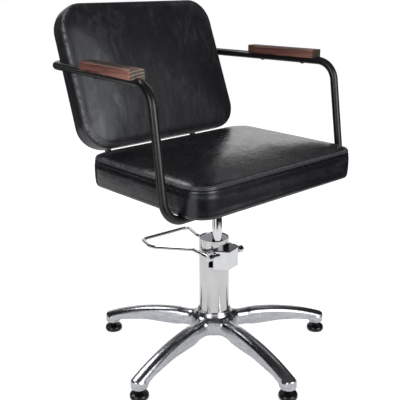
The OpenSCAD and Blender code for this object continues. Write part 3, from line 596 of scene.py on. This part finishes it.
def smooth_by_angle(node):
    """Shades a merged mesh smooth, with sharp edges where it turns more than the smooth angle."""
    for polygon in node.data.polygons:
        polygon.use_smooth = True
    node.data.set_sharp_from_angle(angle=smooth_angle)


def placed(name, bm):
    """Object of a bmesh, linked to the scene. Uses the bmesh up."""
    mesh = bpy.data.meshes.new(name)
    bm.to_mesh(mesh)
    bm.free()
    made = bpy.data.objects.new(name, mesh)
    bpy.context.scene.collection.objects.link(made)
    return made


def keep(name, bm, material, body):
    """Makes a finished piece of a bmesh, which rides on a CAD body."""
    made = placed(name, bm)
    made.data.materials.append(material)
    smooth_by_angle(made)
    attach(made, body)
    return made


def merged_copy(node):
    """Mesh of a CAD node with its loose triangles joined and its flat faces whole."""
    bm = bmesh.new()
    bm.from_mesh(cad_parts[node].data)
    bmesh.ops.remove_doubles(bm, verts=bm.verts, dist=same_cad_point)
    bmesh.ops.dissolve_limit(bm, angle_limit=flat_angle, verts=bm.verts, edges=bm.edges)
    return bm


def even_mesh(thing, grid):
    """Mesh of a closed form on an even grid, with its edges rounded by about one step of it."""
    remesh = thing.modifiers.new("remesh", "REMESH")
    remesh.mode = "VOXEL"
    remesh.voxel_size = grid
    graph = bpy.context.evaluated_depsgraph_get()
    return bpy.data.meshes.new_from_object(thing.evaluated_get(graph))


def fully_spun(bm, profile, steps):
    """Spins a profile once around Z."""
    bmesh.ops.spin(bm, geom=profile, cent=(0, 0, 0), axis=(0, 0, 1), angle=2 * math.pi,
                   steps=steps, use_merge=True)


def turned_to(axis):
    """Turn that lays Z along an axis."""
    return axis.to_track_quat("Z", "Y").to_matrix().to_4x4()


# Cushions

def perimeter(half_w, half_d, corner, x, y):
    """Point on a rounded rectangle for a point (x, y) on the edge of the square from -1 to 1."""
    across = abs(x) >= abs(y)
    run = y if across else x
    side = (1 if x > 0 else -1) if across else (1 if y > 0 else -1)
    straight = (half_d if across else half_w) - corner
    arc = corner * math.pi / 4
    s = run * (straight + arc)
    depth = half_w if across else half_d
    if abs(s) <= straight:
        along, out = s, depth
    else:
        angle = (abs(s) - straight) / corner
        along = math.copysign(straight + corner * math.sin(angle), s)
        out = depth - corner * (1 - math.cos(angle))
    return (side * out, along) if across else (along, side * out)


def ring_inset(steps, reach):
    """Inset of the ring a number of steps from the edge, with the rings closest near the edge."""
    last = (cushion_cuts + 1) // 2
    return reach * (ring_growth ** steps - 1) / (ring_growth ** last - 1)


def cushion_form(size, corner, band, side_rows, rise, pocket=0.0, lip=0.0):
    """Closed cushion of six gridded faces: X and Y across, Z from its rear face to its crown.

    side_rows give the inset of the side band by height, and rise the crown by the distance from
    the edge. pocket is the depth of the recess for the board, lip how far its rim stands out."""
    w, d = size
    bm = bmesh.new()
    bmesh.ops.create_cube(bm, size=2)
    bmesh.ops.subdivide_edges(bm, edges=bm.edges[:], cuts=cushion_cuts, use_grid_fill=True)
    half_steps = (cushion_cuts + 1) / 2
    for v in bm.verts:
        x, y, z = v.co
        rho = max(abs(x), abs(y))
        if abs(z) > 1 - 1e-6:
            top = z > 0
            edge = steps_between(side_rows, band if top else 0)
            inset = ring_inset(round((1 - rho) * half_steps), d / 2 - edge)
            share = 1 - inset / (d / 2 - edge)
            if rho < 1e-6:
                px = py = 0.0
            else:
                px, py = perimeter(w / 2 - edge, d / 2 - edge, corner - edge, x / rho, y / rho)
            px, py = px * share, py * share
            if top:
                height = band + rise(edge_distance(px, py, w / 2 - edge, d / 2 - edge, corner))
            else:
                height = pocket if inset > turned_in else -lip
        else:
            up = 1 - ((1 - z) / 2) ** 1.5
            edge = steps_between(side_rows, band * up)
            height = band * up - lip * (1 - up) ** 4
            px, py = perimeter(w / 2 - edge, d / 2 - edge, corner - edge, x / rho, y / rho)
        v.co = (px, py, height)
    bm.normal_update()
    return bm


def edge_distance(x, y, half_w, half_d, corner):
    """Distance of a point inside a rounded rectangle from its edge."""
    dx = abs(x) - (half_w - corner)
    dy = abs(y) - (half_d - corner)
    outside = math.hypot(max(dx, 0), max(dy, 0))
    return corner - outside - min(max(dx, dy), 0)


def relax_crown(bm, band):
    """Softens the ridges of the crown where it falls to two sides at once."""
    top = [v for v in bm.verts if v.co.z > band + crown_start]
    for _ in range(crown_rounds):
        bmesh.ops.smooth_vert(bm, verts=top, factor=0.5, use_axis_z=True)


def foamed(cover):
    """Mesh of a cover once the foam in it has pushed it out, as cloth with its pins held."""
    cloth = cover.modifiers.new("cloth", "CLOTH")
    cloth.settings.quality = 5
    cloth.settings.mass = 0.3
    cloth.settings.tension_stiffness = 22
    cloth.settings.compression_stiffness = 12
    cloth.settings.shear_stiffness = 8
    cloth.settings.bending_stiffness = 0.8
    cloth.settings.vertex_group_mass = "pins"
    cloth.settings.use_pressure = True
    cloth.settings.uniform_pressure_force = foam_push
    cloth.settings.effector_weights.gravity = 0
    cloth.point_cache.frame_start = 1
    cloth.point_cache.frame_end = foam_steps
    for step in range(1, foam_steps + 1):
        bpy.context.scene.frame_set(step)
    graph = bpy.context.evaluated_depsgraph_get()
    return cover.evaluated_get(graph).to_mesh()


def swelling(form, held):
    """How far foam moves the points of a form. held says where the seam or the board holds it."""
    cover = placed("stuffing", form)
    even = even_mesh(cover, foam_grid)
    cover.modifiers.clear()
    cover.data = even
    at_rest = [v.co.copy() for v in even.vertices]
    pins = cover.vertex_groups.new(name="pins")
    pins.add([i for i, p in enumerate(at_rest) if held(p)], 1.0, "REPLACE")
    moved = [v.co - rest for rest, v in zip(at_rest, foamed(cover).vertices)]
    moved = [way * (foam_limit / way.length) if way.length > foam_limit else way for way in moved]
    bpy.context.scene.frame_set(1)
    bpy.data.objects.remove(cover)
    tree = KDTree(len(at_rest))
    for i, p in enumerate(at_rest):
        tree.insert(p, i)
    tree.balance()
    return tree, moved


def stuffing(shape, seam_hold):
    """What the foam does to a cushion of this shape, held by its board and near its seam."""
    band = shape[2]
    return swelling(cushion_form(*shape), lambda p: p.z < board_hold or abs(p.z - band) < seam_hold)


def carried(field, point):
    """Where the stuffing carries a point, from the nearest points of the blown-up cover."""
    if field is None:
        return point.copy()
    tree, moved = field
    neighbours, blur = 8, 0.002
    total, weight = Vector(), 0.0
    for _, i, distance in tree.find_n(point, neighbours):
        share = 1 / (distance + blur) ** 2
        total += moved[i] * share
        weight += share
    return point + total / weight


def stuff(bm, field):
    """Moves a whole cover as the foam in it does."""
    for v in bm.verts:
        v.co = carried(field, v.co)


def add_stitch(bm, place, along, out, length):
    """One stitch: a small bead laid along a seam."""
    side = along.cross(out).normalized()
    turn = Matrix((along, side, out)).transposed().to_4x4()
    scale = Matrix.Diagonal((length / 2, stitch_thick / 2, stitch_thick / 2, 1))
    matrix = Matrix.Translation(place) @ turn @ scale
    bmesh.ops.create_icosphere(bm, subdivisions=1, radius=1, matrix=matrix)


def stitch_rows(rows, half_w, half_d, corner, pitch, length, field):
    """Rows of stitches around a cushion. Each row is (inset, height, outward lean)."""
    bm = bmesh.new()
    for inset, height, lean in rows:
        loop = rounded_loop(half_w - inset, half_d - inset, corner - inset, pitch)
        course = [carried(field, Vector((x, y, height))) for x, y in loop]
        for i, here in enumerate(course):
            along = (course[(i + 1) % len(course)] - course[i - 1]).normalized()
            flat_out = Vector((along.y, -along.x, 0)).normalized()
            if flat_out.dot(Vector((*loop[i], 0))) < 0:
                flat_out.negate()
            out = (flat_out * math.cos(lean) + Vector((0, 0, math.sin(lean)))).normalized()
            out = (out - along * out.dot(along)).normalized()
            add_stitch(bm, here + out * stitch_thick * stitch_raised_share, along, out, length)
    bmesh.ops.recalc_face_normals(bm, faces=bm.faces)
    return bm


def rounded_loop(half_w, half_d, corner, pitch):
    """Evenly spaced points around a rounded rectangle."""
    points = []
    straights = [2 * (half_w - corner), 2 * (half_d - corner)]
    arc = corner * math.pi / 2
    total = 2 * sum(straights) + 4 * arc
    count = round(total / pitch)
    centres = [(1, 1), (-1, 1), (-1, -1), (1, -1)]
    for i in range(count):
        s = total * i / count
        for quarter in range(4):
            straight = straights[1] if quarter % 2 == 0 else straights[0]
            base = math.pi / 2 * quarter
            if s < straight + arc:
                break
            s -= straight + arc
        cx = centres[quarter][0] * (half_w - corner)
        cy = centres[quarter][1] * (half_d - corner)
        if s < straight:
            back = straight - s
            dx, dy = math.cos(base + math.pi / 2), math.sin(base + math.pi / 2)
            x = cx + corner * math.cos(base) - dx * back
            y = cy + corner * math.sin(base) - dy * back
        else:
            angle = base + (s - straight) / corner
            x, y = cx + corner * math.cos(angle), cy + corner * math.sin(angle)
        points.append((x, y))
    return points


def steps_between(table, value):
    """Smooth value from a table of (key, value) rows."""
    if value <= table[0][0]:
        return table[0][1]
    for (k0, v0), (k1, v1) in zip(table, table[1:]):
        if value <= k1:
            t = (value - k0) / (k1 - k0)
            t = t * t * (3 - 2 * t)
            return v0 + (v1 - v0) * t
    return table[-1][1]


# Side of each cushion: rows of height over the rear face and inset from the nominal side. Below
# them, its rows of stitches: inset, height and outward lean in radians
seat_side = [
    (0, 0.0034), (0.0025, 0.0014), (0.007, 0.0002), (0.022, -0.0008), (0.042, -0.0008), (0.0560, 0.0006),
    (0.0598, 0.0014), (0.0610, 0.0030), (0.0626, 0.0012), (0.0640, 0.0016), (0.0653, 0.0030),
    (seat_band, 0.0036)
]
seat_rows = [(0.0020, seat_band - 0.0044, 0.0), (0.0056, seat_band + 0.0021, 1.2)]
back_side = [
    (0, 0.0062), (0.003, 0.0026), (0.008, 0.0002), (0.018, -0.0030), (0.034, -0.0038),
    (0.0465, -0.0036), (0.0480, -0.0022), (0.0488, -0.0004), (0.0496, -0.0024), (0.0512, -0.0024),
    (0.0536, -0.0002), (0.0556, 0.0022), (0.0563, 0.0044), (back_t, 0.0048)
]
back_rows = [(-0.0022, 0.0408, 0.0)]


def shoulder(distance, height, start, reach):
    """Rise of a stuffed panel near its edge, steep at first."""
    return height * (1 - math.exp(-max(distance - start, 0) / reach))


def dome(distance, height, reach):
    """Rise of a stuffed panel from its edge to its middle."""
    return height * (1 - (1 - min(distance / reach, 1)) ** 2)


def seat_rise(distance):
    """Rise of the seat's top over its seam, with a ridge of turned-in leather along the edge."""
    ridge_h, ridge_at, ridge_w = 0.0012, 0.0014, 0.0012
    ridge = ridge_h * math.exp(-((distance - ridge_at) / ridge_w) ** 2)
    edge = shoulder(distance, height=0.0115, start=0.0024, reach=0.0165)
    return ridge + edge + dome(distance, height=0.0055, reach=seat_d / 2)


def back_rise(distance):
    """Rise of the back's front over its seam."""
    edge = shoulder(distance, height=0.0094, start=0.0008, reach=0.024)
    return edge + dome(distance, height=0.0055, reach=back_len / 2)


def make_seat():
    """Seat cushion: crowned top panel, side band, turned-in underside and a double-stitched seam."""
    place = Matrix.Translation((0, seat_mid, seat_under))
    shape = (seat_w, seat_d), seat_corner, seat_band, seat_side, seat_rise
    field = stuffing(shape, seat_seam_hold)
    bm = cushion_form(*shape, board_t + board_play, seat_lip)
    relax_crown(bm, seat_band)
    stuff(bm, field)
    bmesh.ops.transform(bm, matrix=place, verts=bm.verts)
    cover = keep("seat_cover", bm, seat_leather, "seat")
    soften(cover)
    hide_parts("seat_cushion")
    bm = stitch_rows(seat_rows, seat_w / 2, seat_d / 2, seat_corner, seat_pitch, seat_stitch, field)
    bmesh.ops.transform(bm, matrix=place, verts=bm.verts)
    keep("seat_stitches", bm, thread, "seat")


def make_back():
    """Back cushion: crowned front panel, gathered welt, side band and rounded rear edge."""
    place = back_frame @ Matrix.Translation((0, back_len / 2, -back_t))
    shape = (back_w, back_len), back_corner, back_t, back_side, back_rise
    field = stuffing(shape, back_seam_hold)
    bm = cushion_form(*shape, board_t + board_play)
    relax_crown(bm, back_t)
    stuff(bm, field)
    flare(bm)
    bmesh.ops.transform(bm, matrix=place, verts=bm.verts)
    cover = keep("back_cover", bm, back_leather, "seat")
    soften(cover)
    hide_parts("back_cushion")
    bm = stitch_rows(back_rows, back_w / 2, back_len / 2, back_corner, back_pitch, back_stitch, field)
    flare(bm)
    bmesh.ops.transform(bm, matrix=place, verts=bm.verts)
    keep("back_stitches", bm, thread, "seat")


def flare(bm):
    """Widens the back cushion towards its foot, most at the rear, and narrows its top a little."""
    for v in bm.verts:
        up = min(max(v.co.y / back_len + 0.5, 0), 1)
        behind = min(max(1 - v.co.z / back_rear_depth, 0), 1)
        wider = back_flare * (1 - up) - back_taper * up + back_rear_flare * (1 - up) * behind
        v.co.x *= 1 + wider / (back_w / 2)


def soften(cover):
    """One level of subdivision over the whole cover."""
    finish = cover.modifiers.new("soften", "SUBSURF")
    finish.levels = 1
    finish.render_levels = 1
    for polygon in cover.data.polygons:
        polygon.use_smooth = True


# Hard pieces

def make_base():
    """Cast star base, with fillets where the legs meet the hub."""
    form = merged_copy("base_star")
    surface = BVHTree.FromBMesh(form)
    casting = placed("casting", form)
    bm = bmesh.new()
    bm.from_mesh(even_mesh(casting, casting_grid))
    bpy.data.objects.remove(casting)
    inverse = pump_frame.inverted()
    away = {}
    for v in bm.verts:
        at = inverse @ v.co
        reach = math.hypot(at.x, at.y)
        beyond = max((reach - hub_far) / leg_fade, (hub_near - reach) / hub_fade,
                     (hub_low - at.z) / hub_fade, (at.z - hub_high) / hub_fade)
        away[v] = min(max(beyond, 0), 1)
    settle(bm, [v for v in bm.verts if away[v] == 0], rounds=60)
    settle(bm, [v for v in bm.verts if v.co.z > boss_top], rounds=11)
    for v in bm.verts:
        v.co = v.co.lerp(surface.find_nearest(v.co)[0], away[v])
    settle(bm, [v for v in bm.verts if v.co.z > boss_top], rounds=3)
    made = keep("base_casting", bm, polished_alloy, "base")
    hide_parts("base_star")


def settle(bm, verts, rounds):
    """Evens out the positions of some points, a number of rounds."""
    for _ in range(rounds):
        bmesh.ops.smooth_vert(
            bm, verts=verts, factor=0.5, use_axis_x=True, use_axis_y=True, use_axis_z=True)


def make_arm_pads():
    """Timber pads with eased edges, but for their underside."""
    for side, name in ((-1, "arm_pad_left"), (1, "arm_pad_right")):
        bm = merged_copy(name)
        sharp = [e for e in bm.edges if len(e.link_faces) == 2 and e.calc_face_angle() > sharp_angle
                 and min(v.co.z for v in e.verts) > arm_z + pad_eased_above]
        bmesh.ops.bevel(
            bm, geom=sharp, offset=pad_ease, segments=3, profile=0.5, affect="EDGES", material=-1)
        made = keep(name + "_timber", bm, timber[side], "seat")
        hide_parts(name)


def make_tube_plugs():
    """Domed plastic plugs in the open upper ends of the back tubes."""
    axis = Vector((0, math.sin(back_lean), math.cos(back_lean)))
    tube_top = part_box("back_tube_right")[1]
    top_y = tube_top.y - back_tube_r * axis.z
    top_z = tube_top.z - back_tube_r * axis.y
    dome_profile = [(0.0, 0.0032), (0.0035, 0.0030), (0.0060, 0.0022), (0.0074, 0.0010), (0.0078, 0.0)]
    for side, name in ((-1, "tube_plug_left"), (1, "tube_plug_right")):
        bm = bmesh.new()
        points = [bm.verts.new((r, 0, z)) for r, z in dome_profile]
        edges = [bm.edges.new(pair) for pair in zip(points, points[1:])]
        fully_spun(bm, points + edges, steps=32)
        bmesh.ops.remove_doubles(bm, verts=bm.verts, dist=same_point)
        bmesh.ops.holes_fill(bm, edges=[e for e in bm.edges if e.is_boundary])
        bmesh.ops.recalc_face_normals(bm, faces=bm.faces)
        centre = Vector((side * back_tube_half, top_y, top_z))
        bmesh.ops.transform(bm, matrix=Matrix.Translation(centre) @ turned_to(axis), verts=bm.verts)
        keep(name, bm, black_plastic, "seat")


def weld_bead(bm, centre, axis, radius, thick):
    """Rippled ring of weld around a joint."""
    start = len(bm.verts)
    ring = bmesh.ops.create_circle(bm, cap_ends=False, radius=thick, segments=8)["verts"]
    edges = list({e for v in ring for e in v.link_edges})
    upright = Matrix.Translation((radius, 0, 0)) @ Matrix.Rotation(math.pi / 2, 4, "X")
    bmesh.ops.transform(bm, matrix=upright, verts=ring)
    fully_spun(bm, ring + edges, steps=48)
    bm.verts.ensure_lookup_table()
    made = bm.verts[start:]
    ripples, ripple_share = 16, 0.06
    for v in made:
        swell = 1 + ripple_share * math.sin(math.atan2(v.co.y, v.co.x) * ripples)
        middle = Vector((v.co.x, v.co.y, 0)).normalized() * radius
        v.co = middle + (v.co - middle) * swell
    bmesh.ops.transform(bm, matrix=Matrix.Translation(centre) @ turned_to(axis), verts=made)


def make_welds():
    """Welds where the rails meet the cross tube and around the swivel socket."""
    bm = bmesh.new()
    low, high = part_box("swivel_socket")
    centre = Vector((0, -axis_forward, high.z - socket_bead_sunk))
    weld_bead(bm, centre, Vector((0, 0, 1)), (high.x - low.x) / 2, socket_bead)
    rail_z = seat_under - back_tube_r
    for side in (-1, 1):
        centre = Vector((side * back_tube_half, -cross_front + tube_r - axis_forward, rail_z))
        weld_bead(bm, centre, Vector((0, 1, 0)), back_tube_r, rail_bead)
    bmesh.ops.remove_doubles(bm, verts=bm.verts, dist=same_point)
    bmesh.ops.recalc_face_normals(bm, faces=bm.faces)
    keep("frame_welds", bm, black_coat, "seat")


# Stage, light and camera

def make_stage():
    """Plain white floor that keeps the chair's shadow, and that bright metal mirrors less bright."""
    floor_w, floor_drop = 400, 0.0002
    bpy.ops.mesh.primitive_plane_add(size=floor_w, location=(0, 0, -floor_drop))
    floor = bpy.context.object
    floor.name = "floor"
    made, tree, shader = new_material(
        "floor_paint", Roughness=0.9, Specular_IOR_Level=0.1, Base_Color=(0.55, 0.55, 0.55, 1),
        Emission_Color=(1, 1, 1, 1))
    seen_strength, mirrored_strength = 0.72, 0.48
    rays = tree.nodes.new("ShaderNodeLightPath").outputs
    seen = math_node(tree, "MAXIMUM", rays["Is Camera Ray"], rays["Is Transmission Ray"])
    shown = math_node(tree, "MAXIMUM", times(tree, seen, seen_strength),
                      times(tree, rays["Is Glossy Ray"], mirrored_strength))
    link(tree, shown, shader.inputs["Emission Strength"])
    floor.data.materials.append(made)


def background_rays(tree):
    """1 for the rays that show the background: those of the camera, of bright metal and of glass."""
    rays = tree.nodes.new("ShaderNodeLightPath").outputs
    seen = math_node(tree, "MAXIMUM", rays["Is Camera Ray"], rays["Is Glossy Ray"])
    return math_node(tree, "MAXIMUM", seen, rays["Is Transmission Ray"])


def aim(thing, target, axis):
    """Turns an axis of a thing towards a place."""
    thing.rotation_euler = (Vector(target) - thing.location).to_track_quat(axis, "Y").to_euler()


def dark_card(name, place, target, size):
    """Black card that stands at a place and faces a target, for bright metal and leather to mirror."""
    bpy.ops.mesh.primitive_plane_add(size=1, location=place)
    made = bpy.context.object
    made.name = name
    made.scale = (*size, 1)
    aim(made, target, "Z")
    hide_card(made)


def hide_card(card):
    """Leaves a card to the mirrored rays alone, in black card's colour."""
    card.data.materials.append(card_black)
    card.visible_camera = False
    card.visible_diffuse = False
    card.visible_transmission = False
    card.visible_shadow = False


def floor_cards(sectors):
    """Black cards that lie around the chair. A sector is its start and end in degrees, near and far."""
    card_lift = 0.002
    bm = bmesh.new()
    for start, end, near, far in sectors:
        first = len(bm.verts)
        bmesh.ops.create_grid(bm, x_segments=16, y_segments=1, size=1)
        bm.verts.ensure_lookup_table()
        for v in bm.verts[first:]:
            angle = math.radians(start + (end - start) * (v.co.x + 1) / 2)
            reach = near + (far - near) * (v.co.y + 1) / 2
            v.co = (reach * math.cos(angle), reach * math.sin(angle) - axis_forward, card_lift)
    hide_card(placed("floor_cards", bm))


def make_cards():
    """Cards of a studio: low ones that lie around the chair, and four that stand around it."""
    near, far = 0.95, 9.0
    floor_cards([
        (-42, -105, 1.0, 2.1), (-105, -155, near, far), (-195, -220, near, far),
        (-220, -250, 2.6, far), (-250, -300, near, far), (-330, -402, near, far)])
    dark_card("right_card", (2.3, -2.0, 1.9), (0, 0, 1.9), size=(3.8, 3.8))
    dark_card("left_card", (-2.3, 1.5, 1.9), (0, 0, 1.9), size=(3.0, 3.8))
    dark_card("far_card", (3.3, 0.55, 0.85), (0, 0, 0.85), size=(2.0, 1.7))
    dark_card("rear_card", (-0.45, 2.9, 1.3), (0, 0, 1.3), size=(1.5, 2.6))


def lamp(name, place, target, size, power):
    """Soft box at a place, which shines towards a target."""
    data = bpy.data.lights.new(name, "AREA")
    data.shape = "RECTANGLE"
    data.size, data.size_y = size
    data.energy = power
    made = bpy.data.objects.new(name, data)
    bpy.context.scene.collection.objects.link(made)
    made.location = place
    aim(made, target, "-Z")


def make_world():
    """World that shows white up to the backdrop's top and dark above it, and gives a plain light."""
    world = bpy.data.worlds.new("studio")
    bpy.context.scene.world = world
    world.use_nodes = True
    tree = world.node_tree
    place = tree.nodes.new("ShaderNodeTexCoord")
    up = axes(tree, place.outputs["Generated"])[2]
    backdrop_top, dark_from = 0.272, 0.345
    dark_strength, plain_strength = 0.07, 0.52
    seen = background_rays(tree)
    shown = times(tree, spread(tree, up, backdrop_top, dark_from, 1.0, dark_strength), seen)
    plain = times(tree, math_node(tree, "SUBTRACT", 1.0, seen), plain_strength)
    sky = tree.nodes["Background"]
    sky.inputs["Color"].default_value = (1, 1, 1, 1)
    link(tree, math_node(tree, "ADD", shown, plain), sky.inputs["Strength"])


def make_lights():
    """Soft boxes in front, at the left and behind, and two small ones behind at the right."""
    lamp("front_box", (0.30, -2.7, 1.35), (0, 0, 0.6), size=(1.9, 1.8), power=50)
    lamp("left_box", (-2.75, -0.65, 1.35), (0, 0, 0.6), size=(1.2, 1.5), power=21)
    lamp("rear_strip", (-0.4, 1.9, 2.7), (0, 0, 0.3), size=(1.7, 0.9), power=30)
    lamp("rear_box", (2.0, 2.0, 1.36), (0, 0, 0.55), size=(1.2, 0.42), power=1.7)
    lamp("crown_box", (1.95, 0.75, 2.5), (0, 0, 0.2), size=(1.2, 0.6), power=1.5)


def make_camera():
    """Camera at the photograph's angle, with a small shift for its framing."""
    data = bpy.data.cameras.new("camera")
    data.sensor_width = sensor_w
    data.lens = photo_focal * sensor_w / photo_side
    data.shift_x = -(photo_centre[0] - photo_side / 2) / photo_side
    data.shift_y = (photo_centre[1] - photo_side / 2) / photo_side
    made = bpy.data.objects.new("camera", data)
    bpy.context.scene.collection.objects.link(made)
    made.location = camera_place
    level = math.cos(camera_pitch)
    look = Vector((math.sin(camera_heading) * level, math.cos(camera_heading) * level,
                   -math.sin(camera_pitch)))
    made.rotation_euler = look.to_track_quat("-Z", "Y").to_euler()
    bpy.context.scene.camera = made


dress(black_coat, "front_hoop", "rear_hoop", "back_tube_left", "back_tube_right", "swivel_socket",
      "seat_plate", "back_spacers", "back_bolts", "hoop_screws", "pad_screws")
dress(black_lid, "block_lid")
dress(chrome, "piston_rod", "side_block", "pedal_shaft", "pedal_clamp_left", "pedal_clamp_right")
dress(chrome_bent, "pedal_stirrup")
dress(chrome_brushed, "pump_cover")
dress(polished_alloy, "base_star")
dress(zinc_steel, "pump_foot", "pump_bolts", "ram_tube", "plunger_barrel", "pump_plunger", "pedal_rocker",
      "clamp_screws", "seat_bolts", *["glide_stem_%d" % n for n in glides])
dress(satin_steel, "pump_cap")
dress(bronze, "swivel_bush", "thrust_washer")
dress(black_plastic, "gland_bush", *["glide_foot_%d" % n for n in glides])
dress(plywood, "seat_board")
dress(back_leather, "back_board")

make_base()
make_seat()
make_back()
make_arm_pads()
make_tube_plugs()
make_welds()
make_stage()
make_cards()
make_world()
make_lights()
make_camera()
bpy.context.scene.view_settings.view_transform = "Standard"
